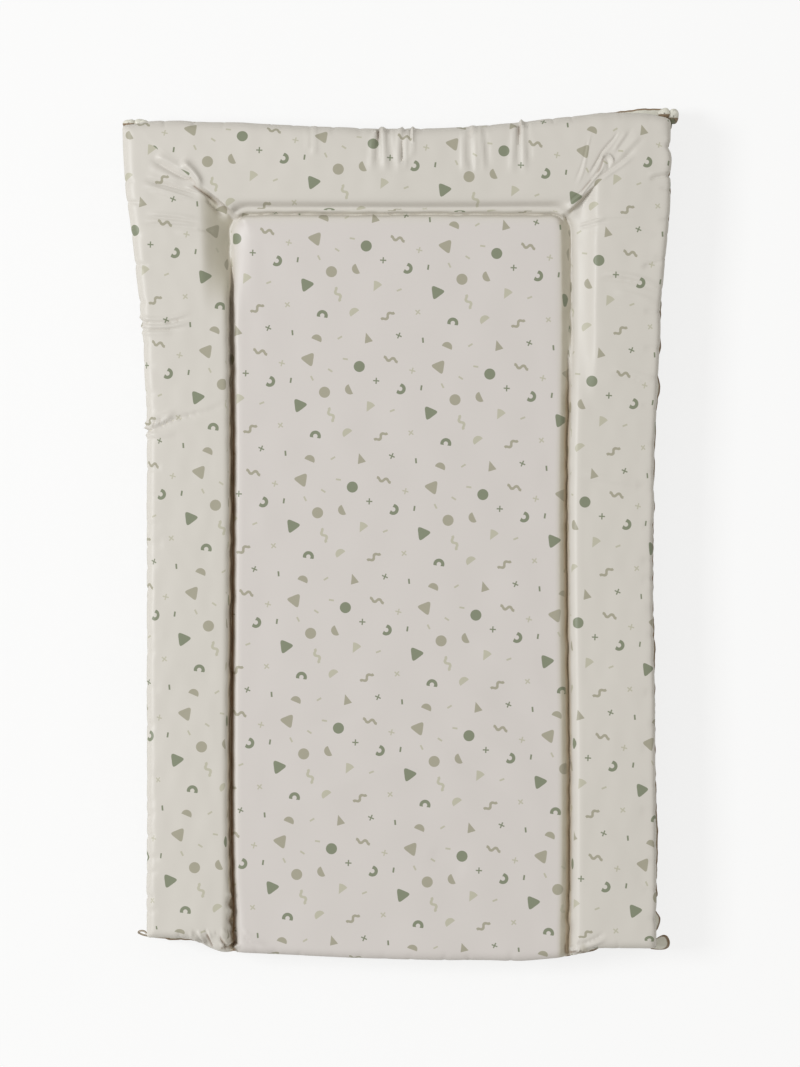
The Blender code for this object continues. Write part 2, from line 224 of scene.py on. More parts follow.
class Reading:
    """A number or colour in a material. Arithmetic on a number adds Math nodes."""

    def __init__(self, finish, socket):
        self.finish = finish
        self.socket = socket

    def work(self, operation, *others):
        return self.finish.node("Math", {"operation": operation}, dict(enumerate((self, *others))))

    def __add__(self, other):
        return self.work("ADD", other)

    def __sub__(self, other):
        return self.work("SUBTRACT", other)

    def __rsub__(self, other):
        return self.finish.node("Math", {"operation": "SUBTRACT"}, {0: other, 1: self})

    def __mul__(self, other):
        return self.work("MULTIPLY", other)

    def __abs__(self):
        return self.work("ABSOLUTE")

    __radd__ = __add__
    __rmul__ = __mul__


class Finish:
    """The material of one piece of the mat, built node by node."""

    def __init__(self, name, roughness, coat=0.0):
        self.material = bpy.data.materials.new(name)
        self.material.use_nodes = True
        self.tree = self.material.node_tree
        self.shader = self.tree.nodes["Principled BSDF"]
        self.shader.inputs["Roughness"].default_value = roughness
        self.shader.inputs["Coat Weight"].default_value = coat
        self.shader.inputs["Coat Roughness"].default_value = COAT_ROUGHNESS

    def node(self, kind, settings, inputs, output=0):
        made = self.tree.nodes.new("ShaderNode" + kind)
        for setting, value in settings.items():
            setattr(made, setting, value)
        for socket, value in inputs.items():
            self.feed(made.inputs[socket], value)
        return Reading(self, made.outputs[output])

    def feed(self, socket, value):
        if isinstance(value, Reading):
            self.tree.links.new(value.socket, socket)
        else:
            socket.default_value = value

    def place(self):
        """Where a point lies on the piece, in metres."""
        return self.node("TexCoord", {}, {}, "Object")

    def stored(self, name):
        """A number that store() keeps for each point."""
        return self.node("Attribute", {"attribute_name": name}, {}, "Fac")

    def parts(self, vector):
        """How far a vector goes along x and along y."""
        x = self.node("SeparateXYZ", {}, {0: vector}, "X")
        return x, Reading(self, x.socket.node.outputs["Y"])

    def blend(self, share, first, second):
        """The first colour, turning into the second as share goes from 0 to 1."""
        return self.node("Mix", {"data_type": "RGBA"}, {0: share, 6: first, 7: second}, 2)

    def mottle(self, place, per_metre, detail=2):
        """Soft noise between 0 and 1."""
        return self.node("TexNoise", {}, {"Vector": place, "Scale": per_metre, "Detail": detail})

    def within(self, value, low, high):
        """0 at low up to 1 at high, in an S."""
        settings = {"interpolation_type": "SMOOTHSTEP"}
        return self.node("MapRange", settings, {"Value": value, "From Min": low, "From Max": high})

    def raised(self, height, distance):
        """Surface relief: the height reads 0 to 1, and the distance is its real size in metres."""
        return self.node("Bump", {}, {"Height": height, "Distance": distance, "Strength": 1}, "Normal")

    def cover(self, piece, **inputs):
        for socket, value in inputs.items():
            self.feed(self.shader.inputs[socket.replace("_", " ")], value)
        piece.data.materials.append(self.material)


def paint(red, green, blue):
    """A colour as it looks, from 0 to 255, for a shader's socket."""
    parts = [part / 255 for part in (red, green, blue)]
    return *[part / 12.92 if part < 0.04045 else ((part + 0.055) / 1.055) ** 2.4 for part in parts], 1


BASE_EDGE_STEP = 0.0013
PUCKER_SIZE = 0.011
PUCKER_SEED = 21
PUCKER_OUT = 0.0007
PUCKER_UP = 0.0005
VENT_RADIUS = 0.002
PUNCH_LENGTH = 0.004
base_x = mirrored(spaced(((0, 0), (EDGE_X - EDGE_ROUNDING, 0.0050), (EDGE_X, BASE_EDGE_STEP))))
base_y = spaced((
    (FOOT_Y, 0), (FOOT_Y + EDGE_ROUNDING, BASE_EDGE_STEP), (HEAD_Y - EDGE_ROUNDING, 0.0042),
    (HEAD_Y, BASE_EDGE_STEP),
))
base_p, base_q = np.meshgrid(base_x, base_y, indexing="ij")


def base_surface(p, q):
    x, y, share, turn = turned_edge(p, q, BASE_EDGE)
    return np.stack([x, y, BASE_RIM * share], axis=-1), turn


base_points, base_turn = base_surface(base_p, base_q)
# the turned-up edge is drawn into shallow puckers, and the flat stays on the floor
pucker = wander(base_points[..., 0], base_points[..., 1], PUCKER_SIZE, PUCKER_SEED)
pucker *= np.sin(np.pi * base_turn) ** 2
away = np.stack([base_points[..., 0] / EDGE_X, base_points[..., 1] / HEAD_Y], axis=-1)
base_points[..., :2] += away / np.linalg.norm(away, axis=-1, keepdims=True) * PUCKER_OUT * pucker[..., None]
base_points[..., 2] = np.clip(base_points[..., 2] + PUCKER_UP * pucker * base_turn, 0, None)
base_sheet = made_of("base_film", base_points, crossing_faces(len(base_x), len(base_y))[:, ::-1])
store(base_sheet, "turned_up", base_turn)
give_wall(base_sheet, BASE_FILM, -1)

for vent_x in (-0.11, 0.11):
    for vent_y in (-0.25, 0.25):
        bpy.ops.object.select_all(action="DESELECT")
        bpy.ops.mesh.primitive_cylinder_add(
            vertices=24, radius=VENT_RADIUS, depth=PUNCH_LENGTH, location=(vent_x, vent_y, 0)
        )
        punch = bpy.context.active_object
        vent = base_sheet.modifiers.new("vent", "BOOLEAN")
        vent.solver = "EXACT"
        vent.object = punch
        apply_all(base_sheet)
        bpy.data.objects.remove(punch)

base_finish = Finish("plain_film", roughness=0.45, coat=0.1)
base_place = base_finish.place()
base_cloud = base_finish.mottle(base_place, per_metre=9)
grain_settings = {"feature": "DISTANCE_TO_EDGE"}
base_grain = base_finish.node("TexVoronoi", grain_settings, {"Vector": base_place, "Scale": 900})
base_scuff = base_finish.within(base_finish.mottle(base_place, 45, 5), 0.52, 0.72)
base_colour = base_finish.blend(base_cloud, paint(207, 203, 195), paint(213, 209, 201))
base_colour = base_finish.blend(base_scuff * 0.25, base_colour, paint(186, 180, 170))
# the top of the turned-up edge, just under the weld band, is darker and browner
base_lip = base_finish.within(base_finish.stored("turned_up"), 0.85, 1)
base_colour = base_finish.blend(base_lip * 0.5, base_colour, paint(172, 160, 143))
base_finish.cover(
    base_sheet,
    Base_Color=base_colour,
    Roughness=base_scuff * 0.15 + 0.42,
    Normal=base_finish.raised(base_finish.within(base_grain, 0, 0.25), distance=0.00006),
)
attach(base_sheet, "root")
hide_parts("base_sheet")

# Foam and wadding
# Open-cell foam cut to size: a slab under the lying area with a layer of soft fibre on it, and three
# bars for the raised rim, mitred where they meet. The films hold them; nothing is glued.
CORNER_ROUNDING = 0.0160
FILM_GAP = 0.0018
MITRE_GAP = 0.0012
SLAB_TOP = 0.0509
WADDING_FLOOR = 0.0513
COVER_RIM = 0.0231
# inset from the outline and height as a share of the form, from the flat top out to the weld, which is
# rounder on the left, the head and the foot than on the right
COVER_EDGE = (
    (0.0140, 1), (0.0090, 0.9985), (0.0070, 0.996), (0.0055, 0.988), (0.0040, 0.972), (0.0028, 0.952),
    (0.0017, 0.925), (0.0009, 0.898), (0.00035, 0.865), (0.00005, 0.82), (0, 0.70), (0.0001, 0.55),
    (0.0006, 0.38), (0.0016, 0.18), (0.0040, 0),
)
COVER_EDGE_RIGHT = (
    (0.0140, 1), (0.0056, 0.999), (0.0040, 0.996), (0.0030, 0.990), (0.0021, 0.977), (0.0014, 0.957),
    (0.0009, 0.930), (0.0005, 0.90), (0.0002, 0.865), (0.00003, 0.82), (0, 0.70), (0.0001, 0.55),
    (0.0006, 0.38), (0.0016, 0.18), (0.0040, 0),
)
COVER_EDGE_HEAD = (
    (0.0140, 1), (0.0112, 0.998), (0.0090, 0.993), (0.0072, 0.985), (0.0056, 0.970), (0.0041, 0.945),
    (0.0029, 0.915), (0.0018, 0.880), (0.0010, 0.845), (0.0004, 0.805), (0.00006, 0.76), (0, 0.66),
    (0.0001, 0.52), (0.0006, 0.36), (0.0016, 0.18), (0.0040, 0),
)
# height over the floor at distances out from the groove, in millimetres: where it is drawn tight, where
# it opens near the head, and along the head
TIGHT_SIDES = {
    LEFT: (
        (-150, 60), (-30, 60), (-11, 60), (-8.6, 59.85), (-6.6, 59.5), (-5.1, 58.8), (-4, 57.8),
        (-3.2, 56.4), (-2.6, 54.6), (-2.1, 52.4), (-1.6, 50.4), (-1, 49), (-0.4, 48.4), (0.1, 48.8),
        (0.5, 51.5), (0.9, 57.5), (1.3, 62.2), (1.6, 64.2), (2.1, 65.6), (2.7, 66.6), (3.4, 67.4),
        (4.2, 68), (5.2, 68.5), (6.2, 68.8), (7.6, 68.95), (12, 69), (38, 69), (60, 68.6), (77, 67.6),
    ),
    RIGHT: (
        (-150, 60), (-30, 60), (-11, 60), (-9, 59.85), (-7.2, 59.4), (-6.3, 58.9), (-5.4, 58.2),
        (-4.5, 57.3), (-3.6, 56.3), (-2.7, 55.1), (-1.6, 53), (-0.8, 50.8), (-0.1, 49.4), (0.6, 50.8),
        (1.2, 54), (1.7, 58), (2.3, 61.2), (3.1, 63.6), (4.2, 65.6), (5.6, 67.2), (7.2, 68.2),
        (9, 68.75), (12, 69), (38, 69), (60, 68.6), (77, 67.6),
    ),
}
OPEN_SIDES = {
    LEFT: (
        (-150, 60), (-25, 60), (-18, 59.6), (-12, 58.5), (-8, 57.1), (-4, 54.9), (-2, 53.1),
        (-0.5, 51.2), (0.6, 49.6), (1.4, 48.9), (2.2, 49), (3.4, 50.5), (6, 53.7), (9, 57.1),
        (12, 60.2), (15, 63), (18, 65.7), (19.8, 67.1), (21.4, 68.1), (23.2, 68.8), (25.5, 69),
        (34, 69), (60, 68.6), (77, 67.6),
    ),
    RIGHT: (
        (-150, 60), (-25, 60), (-12, 59.9), (-8, 59.6), (-5.8, 59), (-4.4, 58), (-2.8, 56.4),
        (-1, 54.5), (0.8, 52.6), (2, 51.2), (2.8, 50.5), (3.4, 50.8), (4, 52.8), (4.8, 55.2),
        (6.2, 57.3), (8, 58.9), (11, 60.5), (14, 62.3), (16.5, 64.2), (18.5, 66), (20.3, 67.5),
        (22, 68.5), (24, 68.9), (27, 69), (36, 69), (60, 68.6), (77, 67.6),
    ),
}
HEAD_SIDE = (
    (-150, 60), (-25, 60), (-10, 60), (-7, 59.9), (-5.4, 59.6), (-4.2, 59.2), (-3.3, 58.5),
    (-2.5, 57.5), (-1.9, 56.4), (-1.4, 55.1), (-0.9, 54.1), (-0.4, 54.5), (0.1, 55.7), (0.6, 57.1),
    (1.2, 58.5), (1.8, 59.4), (2.6, 59.8), (4.5, 59.8), (5.1, 60), (5.8, 60.9), (6.6, 62.4), (7.4, 64),
    (8.2, 65.4), (9, 66.5), (10, 67.4), (11.4, 68.1), (13.2, 68.6), (15.5, 68.9), (18.5, 69), (48, 69),
    (64, 68.6), (77, 67.6),
)
# the grooves gape at their foot ends, in shares of their width, more so on the left
FOOT_GAPES = {LEFT: 0.9, RIGHT: 0.25}
FOOT_GAPE_Y = -0.310
FOOT_GAPE_RUN = 0.060
# they open towards the head: where that starts, over what length, and how much of it is seen
OPENINGS = {LEFT: (0.192, 0.072, 1), RIGHT: (0.108, 0.080, 1)}
# how unevenly the film runs down into them, in millimetres
WAVER = 0.45
WAVER_SIZE = 0.018
WAVER_SEED = 9
# their corners are round deep down and square a little further out, where the bolsters' mitre is
# sharper too
SQUARE_FROM = 0.002
SQUARE_RUN = 0.010
MITRE_BLUR = 0.0060
MITRE_SHARPENING = 0.0052
MITRE_RUN = 0.014
# over what width the outer edge goes from the form of one side to that of the next
EDGE_BLEND = 0.006
# how far out they stray from straight at places up the mat, in millimetres
GROOVE_BENDS = {
    LEFT: (
        (-385, 0), (-358, 0), (-331, 0.4), (-304, 1.2), (-268, 1.7), (-204, 1.9), (-132, 1.4),
        (-60, 0.9), (12, 0.4), (75, 0.3), (121, 0.7), (157, 0.8), (184, 1.5), (211, 0.9), (250, 0),
        (364, 0),
    ),
    RIGHT: (
        (-385, 1), (-358, 1.1), (-331, 1.5), (-304, 1.8), (-268, 1.9), (-204, 1.9), (-132, 0.9),
        (-60, 0), (12, -0.4), (75, 0), (121, 0.9), (157, 0.9), (184, 0.6), (238, 0.4), (270, 0),
        (364, 0),
    ),
}


def groove_distance(p, q):
    """How far a point of the plan is outside the groove, which turns a round corner at both sides of
    the head, and how far it belongs to the head rather than a side."""
    past_x = np.abs(p) - (GROOVE_X - CORNER_ROUNDING)
    past_y = q - (GROOVE_Y - CORNER_ROUNDING)
    inside = np.minimum(np.maximum(past_x, past_y), 0)
    round_way = np.hypot(np.clip(past_x, 0, None), np.clip(past_y, 0, None)) + inside - CORNER_ROUNDING
    square_way = np.maximum(past_x, past_y) - CORNER_ROUNDING
    distance = round_way + (square_way - round_way) * smooth((square_way - SQUARE_FROM) / SQUARE_RUN)
    blur = MITRE_BLUR - MITRE_SHARPENING * smooth(distance / MITRE_RUN)
    return distance, smooth((past_y - past_x) / (2 * blur) + 0.5)


def bent_distance(p, q):
    """The distance out from the groove where it really runs, in millimetres."""
    distance, head_share = groove_distance(p, q)
    bend = by_side(p, q * 1000, GROOVE_BENDS)
    return distance * 1000 - bend * (1 - head_share), head_share


def side_change(p, q, changes):
    """How far a change up the mat has come, from 0 to its share, on the left and the right."""
    left, right = (share * smooth((q - start) / run) for start, run, share in (changes[LEFT], changes[RIGHT]))
    return np.where(p < 0, left, right)


def form_height(p, q):
    """The height of pad, groove and bolsters before the outer edge is turned over."""
    millimetres, head_share = bent_distance(p, q)
    gape = np.where(p < 0, FOOT_GAPES[LEFT], FOOT_GAPES[RIGHT]) * smooth((FOOT_GAPE_Y - q) / FOOT_GAPE_RUN)
    millimetres = millimetres / (1 + gape * hump(millimetres, 8))
    millimetres = millimetres + WAVER * wander(p, q, WAVER_SIZE, WAVER_SEED) * hump(millimetres, 4)
    opening = side_change(p, q, OPENINGS)
    tight, opened = by_side(p, millimetres, TIGHT_SIDES), by_side(p, millimetres, OPEN_SIDES)
    side = tight * (1 - opening) + opened * opening
    return (side + (eased(millimetres, HEAD_SIDE) - side) * head_share) / 1000


def cover_surface(p, q):
    x, y, share, turn = turned_edge(p, q, COVER_EDGE)
    past_side = np.abs(p) - (EDGE_X - EDGE_ROUNDING)
    past_head, past_foot = q - (HEAD_Y - EDGE_ROUNDING), FOOT_Y + EDGE_ROUNDING - q
    at_right = smooth((past_side - np.maximum(past_head, past_foot)) / EDGE_BLEND) * (p > 0)
    at_head = smooth((past_head - past_side) / EDGE_BLEND)
    for edge, belongs in ((COVER_EDGE_RIGHT, at_right), (COVER_EDGE_HEAD, at_head)):
        own_x, own_y, own_share, _ = turned_edge(p, q, edge)
        x = x + (own_x - x) * belongs
        y = y + (own_y - y) * belongs
        share = share + (own_share - share) * belongs
    height = COVER_RIM + (form_height(p, q) - COVER_RIM) * share
    return np.stack([x, y, height], axis=-1), turn


def upward(points):
    """The unit normal at each point of a grid."""
    normal = np.cross(np.gradient(points, axis=0), np.gradient(points, axis=1))
    normal *= np.sign(normal[..., 2].mean())
    return normal / np.maximum(np.linalg.norm(normal, axis=-1, keepdims=True), 1e-12)


def stuffing(name, p, q, top, bottom):
    """A closed block between two surfaces over the same part of the plan."""
    across, along = p.shape
    cells = crossing_faces(across, along)
    count = across * along
    rim = [(i, 0) for i in range(across - 1)]
    rim += [(across - 1, j) for j in range(along - 1)]
    rim += [(i, along - 1) for i in range(across - 1, 0, -1)]
    rim += [(0, j) for j in range(along - 1, 0, -1)]
    rim = np.array([i * along + j for i, j in rim])
    ahead = np.roll(rim, -1)
    sides = np.stack([rim + count, ahead + count, ahead, rim], axis=-1)
    faces = np.concatenate([cells, cells[:, ::-1] + count, sides])
    if p[-1, 0] < p[0, 0]:
        faces = faces[:, ::-1]
    piece = made_of(name, np.concatenate([top.reshape(-1, 3), bottom.reshape(-1, 3)]), faces)
    piece.data.set_sharp_from_angle(angle=math.radians(50))
    return piece


FOLDED_CORNER_X = 0.187
FOLDED_CORNER_Y = 0.322
FOLDED_CORNER_REACH = 0.038
FOLDED_CORNER_DEPTH = 0.0050
GATHERED_HEAD_Y = 0.310
GATHERED_HEAD_RUN = 0.020
GATHERED_HEAD_DEPTH = 0.0026


def under_cover(p, q, gap):
    """The top of a stuffing. It lies deeper where the cover is creased, at the head and its two corners."""
    points, _ = cover_surface(p, q)
    from_folds = np.hypot(np.abs(points[..., 0]) - FOLDED_CORNER_X, points[..., 1] - FOLDED_CORNER_Y)
    deeper = FOLDED_CORNER_DEPTH * hump(from_folds, FOLDED_CORNER_REACH, 4)
    deeper = deeper + GATHERED_HEAD_DEPTH * smooth((points[..., 1] - GATHERED_HEAD_Y) / GATHERED_HEAD_RUN)
    return points - upward(points) * (gap + deeper)[..., None]


def on_base(p, q, gap):
    points, _ = base_surface(p, q)
    points[..., 2] += gap
    return points


def foam_finish(name, pale, deep, cells_per_metre):
    foam = Finish(name, roughness=0.92)
    place = foam.place()
    cells = foam.node("TexVoronoi", {}, {"Vector": place, "Scale": cells_per_metre})
    tone = foam.blend(foam.within(cells, 0.15, 0.6), deep, pale)
    tone = foam.blend(foam.mottle(place, 12) * 0.3, tone, deep)
    return foam, {"Base_Color": tone, "Normal": foam.raised(cells, distance=0.0004)}


STUFFING_FOOT = FOOT_Y + 0.0034
PAD_EDGE_STEP = 0.0014


def pad_plan(margin, step):
    """Crossings over the lying area, its two head corners rounded as the groove is."""
    half, last = GROOVE_X - margin, GROOVE_Y - margin
    p = mirrored(spaced(((0, 0), (half - CORNER_ROUNDING, step), (half, PAD_EDGE_STEP))))
    q = spaced((
        (STUFFING_FOOT, 0), (FOOT_Y + EDGE_ROUNDING, 0.0018), (last - CORNER_ROUNDING, step),
        (last, PAD_EDGE_STEP),
    ))
    p, q = np.meshgrid(p, q, indexing="ij")
    past_x = np.clip(np.abs(p) - (half - CORNER_ROUNDING), 0, None)
    past_y = np.clip(q - (last - CORNER_ROUNDING), 0, None)
    corner = (past_x > 0) & (past_y > 0)
    drawn = np.where(corner, 1 - np.maximum(past_x, past_y) / np.maximum(np.hypot(past_x, past_y), 1e-9), 0)
    return p - np.sign(p) * past_x * drawn, q - past_y * drawn


SLAB_GAP = 0.0007
BAR_GAP = 0.0008
LAYER_FOOT = FOOT_Y + 0.0068
THINNEST_LAYER = 0.0006

slab_p, slab_q = pad_plan(margin=0.0014, step=0.006)
slab_top = under_cover(slab_p, slab_q, FILM_GAP)
slab_top[..., 2] = np.minimum(slab_top[..., 2], SLAB_TOP)
centre_slab = stuffing("centre_slab", slab_p, slab_q, slab_top, on_base(slab_p, slab_q, SLAB_GAP))
layer_p, layer_q = pad_plan(margin=0.0042, step=0.004)
layer_q = np.maximum(layer_q, LAYER_FOOT)
layer_top = under_cover(layer_p, layer_q, FILM_GAP)
layer_top[..., 2] = np.maximum(layer_top[..., 2], WADDING_FLOOR + THINNEST_LAYER)
layer_floor = layer_top.copy()
layer_floor[..., 2] = WADDING_FLOOR
soft_layer = stuffing("soft_layer", layer_p, layer_q, layer_top, layer_floor)

bar_out = spaced(((0.0014, 0), (0.0120, 0.0012), (0.0600, 0.0045), (0.0740, 0.0012))) / (EDGE_X - GROOVE_X)
bar_along = spaced(((0, 0), (0.03, 0.004), (0.97, 0.012), (1, 0.006)))
bar_a, bar_b = np.meshgrid(bar_out, bar_along, indexing="ij")
side_p = GROOVE_X + bar_a * (EDGE_X - GROOVE_X)
side_end = GROOVE_Y + bar_a * (HEAD_Y - GROOVE_Y) - MITRE_GAP
side_q = STUFFING_FOOT + (side_end - STUFFING_FOOT) * bar_b
head_q = GROOVE_Y + bar_a * (HEAD_Y - GROOVE_Y)
head_p = (GROOVE_X + bar_a * (EDGE_X - GROOVE_X) - MITRE_GAP) * (2 * bar_b - 1)
bolsters = []
for bolster_name, p, q in (
    ("left_bolster", -side_p, side_q),
    ("right_bolster", side_p, side_q),
    ("head_bolster", head_p, head_q),
):
    top = under_cover(p, q, FILM_GAP)
    bolsters.append(stuffing(bolster_name, p, q, top, on_base(p, q, BAR_GAP)))

foam, foam_inputs = foam_finish("foam", paint(222, 218, 203), paint(186, 180, 160), 900)
fibre, fibre_inputs = foam_finish("wadding", paint(235, 234, 230), paint(212, 210, 205), 420)
for piece in (centre_slab, *bolsters):
    foam.cover(piece, **foam_inputs)
fibre.cover(soft_layer, **fibre_inputs)
stuffed_nodes = (
    "centre_foam", "left_bolster_foam", "right_bolster_foam", "head_bolster_foam", "centre_wadding",
)
for piece, stands_for in zip((centre_slab, *bolsters, soft_layer), stuffed_nodes):
    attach(piece, "root")
    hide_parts(stands_for)

# Groove web
# An upright strip of the plain film, welded along the bottom of the groove and to the base. It holds
# the cover down between the pad and the bolsters and keeps the foam pieces apart.
WEB_PLIES = 0.0008
WEB_FOOT = 0.0007
WEB_UNDER_FILM = 0.0010
WEB_SLACK = 0.00035
web_run = spaced(((FOOT_Y + EDGE_ROUNDING, 0), (GROOVE_Y - CORNER_ROUNDING, 0.006)))
web_turn = np.linspace(0, math.pi / 2, 14)[1:]
web_x = np.concatenate([np.full(len(web_run), GROOVE_X), GROOVE_X + CORNER_ROUNDING * (np.cos(web_turn) - 1)])
web_y = np.concatenate([web_run, GROOVE_Y + CORNER_ROUNDING * (np.sin(web_turn) - 1)])
web_across = np.linspace(-web_x[-1], web_x[-1], 40)[1:-1]
web_x = np.concatenate([-web_x, web_across, web_x[::-1]])
web_y = np.concatenate([web_y, np.full(len(web_across), GROOVE_Y), web_y[::-1]])
web_tops = form_height(web_x, web_y) - WEB_UNDER_FILM
web_plan = np.stack(stuffed(web_x, web_y), axis=-1)
web_levels = np.linspace(0, 1, 9)
web_points = np.zeros((len(web_x), len(web_levels), 3))
web_points[..., :2] = web_plan[:, None, :]
web_points[..., 2] = WEB_FOOT + (web_tops[:, None] - WEB_FOOT) * web_levels
web_points[..., 0] += np.sin(np.pi * web_levels) * WEB_SLACK * wander(web_x, web_y, 0.06, 5)[:, None]
groove_web = made_of("groove_strip", web_points, crossing_faces(len(web_x), len(web_levels)))
give_wall(groove_web, WEB_PLIES, 0)
web_finish = Finish("web_film", roughness=0.45)
web_place = web_finish.place()
web_cloud = web_finish.mottle(web_place, 60, 3)
web_finish.cover(
    groove_web,
    Base_Color=web_finish.blend(web_cloud, paint(196, 190, 180), paint(208, 203, 194)),
    Roughness=web_cloud * 0.2 + 0.35,
    Normal=web_finish.raised(web_finish.mottle(web_place, 1400), distance=0.00003),
)
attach(groove_web, "root")
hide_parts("groove_web")

# Printed cover
# One sheet of satin PVC film over pad and bolsters, printed with small scattered shapes, tucked down
# into the groove and gathered at the corners and the head seam, where it has more length than the
# weld takes up.
COVER_FILM = 0.0004
cover_x = mirrored(spaced((
    (0, 0), (0.1340, 0.0024), (0.1440, 0.0010), (0.1575, 0.0006), (0.1980, 0.0007),
    (EDGE_X - EDGE_ROUNDING, 0.0009), (EDGE_X, 0.0006),
)))
cover_y = spaced((
    (FOOT_Y, 0), (FOOT_Y + EDGE_ROUNDING, 0.0006), (-0.3000, 0.0026), (0.0500, 0.0032), (0.1700, 0.0022),
    (0.2720, 0.0016), (0.2835, 0.0010), (0.3300, 0.0006), (HEAD_Y - EDGE_ROUNDING, 0.0008), (HEAD_Y, 0.0006),
))
cover_p, cover_q = np.meshgrid(cover_x, cover_y, indexing="ij")
cover_points, cover_turn = cover_surface(cover_p, cover_q)
cover_normals = upward(cover_points)

# folds, in millimetres from the middle of the mat: height over or under the surface, how far the fold
# spreads to the left and the right of its run (one number where both are alike) at its start and at
# its end, and the points it follows
FOLDS_FROM_SEAM = (
    # gathers at the head seam
    (1.4, 1.7, 2.4, ((-77.5, 366.7), (-77.1, 354.6), (-76.6, 338.3))),
    (-1.3, 1.2, 1.4, ((-79.8, 366.3), (-79.5, 344.6))),
    (0.8, 1.6, 2, ((-82.2, 365.4), (-82.2, 344.6))),
    (3.4, (1.9, 1.6), (1.6, 1.4), ((-15.9, 366.7), (-16.1, 358.2))),
    (2, 1.4, 3.2, ((-15.2, 363.6), (-13.4, 345.5), (-12.5, 323.9))),
    (1.6, 1.2, 3.2, ((-21.7, 363.6), (-24.4, 347.3), (-25.6, 323.9))),
    (-3.2, 1, 1.7, ((-18.7, 364.5), (-19.7, 351.9), (-20.2, 331.1))),
    (-1.6, 1.1, 1.9, ((-10, 364.5), (-8.7, 345.5), (-8, 331.1))),
    (2.4, (1.4, 1.3), 1.2, ((1.9, 366.7), (1.8, 357.3))),
    (-3.8, 0.9, 1.2, ((3.9, 365.4), (3.2, 351.9), (2.5, 331.1))),
    (1.7, 1.2, 2.6, ((0.2, 364), (-1, 347.3), (-0.6, 322.1))),
    (1.8, 1.2, 2.6, ((6.6, 364), (5.5, 349.2), (4.5, 323.9))),
    (2.2, 1.4, 2, ((11.7, 366.3), (11.7, 356.4), (9.9, 336.5))),
    (-1.6, 1.1, 1.5, ((9.1, 364.5), (9.1, 349.2), (8.2, 338.3))),
    (2.6, (1.6, 1.4), (1.4, 1.2), ((65.7, 367.2), (66, 359.1))),
    (-3.2, 0.9, 1.2, ((61.2, 365.4), (61.3, 345.5), (61.5, 329.3))),
    (-2.6, 0.9, 1.2, ((65.5, 363.6), (65.3, 345.5), (64.8, 323))),
    (1.8, 1.3, 2.6, ((58.7, 364.5), (57.9, 349.2), (57.9, 322.1))),
    (1.6, 1, 1.3, ((63.4, 365.4), (63.4, 345.5), (63.2, 327.5))),
    (1.8, 1.2, 2.2, ((67.7, 364.5), (68.2, 349.2), (69, 323.9))),
    (1.5, 1.5, 2.8, ((72.2, 366.3), (74.5, 343.7), (75.8, 322.1))),
    (-1.4, 1.2, 2, ((76.3, 364.5), (79, 345.5), (80.3, 327.5))),
    (3, (1.5, 1.4), (1.3, 1.2), ((110.4, 372.6), (110.9, 364.5))),
    (1.8, 1.2, 2.4, ((111.3, 368.1), (111.3, 350.1), (113.3, 322.1))),
    (-2.8, 0.9, 1.3, ((107.9, 368.1), (107.1, 350.1), (106.4, 332))),
    (1.6, 1.3, 3, ((103.7, 367.2), (101.9, 345.5), (101.4, 322.1))),
    (-1.6, 1.1, 1.7, ((115.1, 369), (116.3, 350.1), (117.2, 333.8))),
    # creases of the left bolster
    (-2, 1.1, 1.4, ((-236, 192.4), (-223.1, 189.9), (-208.7, 190.6), (-188, 195))),
    (1.6, 1.5, 2.2, ((-236, 188.6), (-223, 187), (-208, 187.6), (-186, 191))),
    (-1.4, 1, 1.2, ((-236, 185), (-221.3, 184.4), (-206.9, 184.4), (-190, 187))),
    (1.4, 1.4, 2.2, ((-236, 196.4), (-223, 193.6), (-206.9, 194.6), (-186, 200))),
    (0.8, 1.4, 2, ((-236, 181.6), (-221, 181), (-203, 181))),
    (-2.3, 1.1, 1.6, ((-231, 92.6), (-219, 95.6), (-206.9, 101.4), (-190.6, 106.6), (-172, 112.4))),
    (3, 1.2, 1.6, ((-229.5, 95.6), (-220, 98.6), (-211, 102.8), (-203, 107))),
    (2, 1.3, 1.8, ((-229.5, 99.6), (-220, 103.6), (-210, 107.4), (-200, 110))),
    (-1.8, 0.9, 0.9, ((-226, 98.6), (-217, 101.8), (-209.6, 105.4))),
    (1.2, 1.4, 1.8, ((-231, 89.4), (-217, 89.6), (-200, 91))),
)
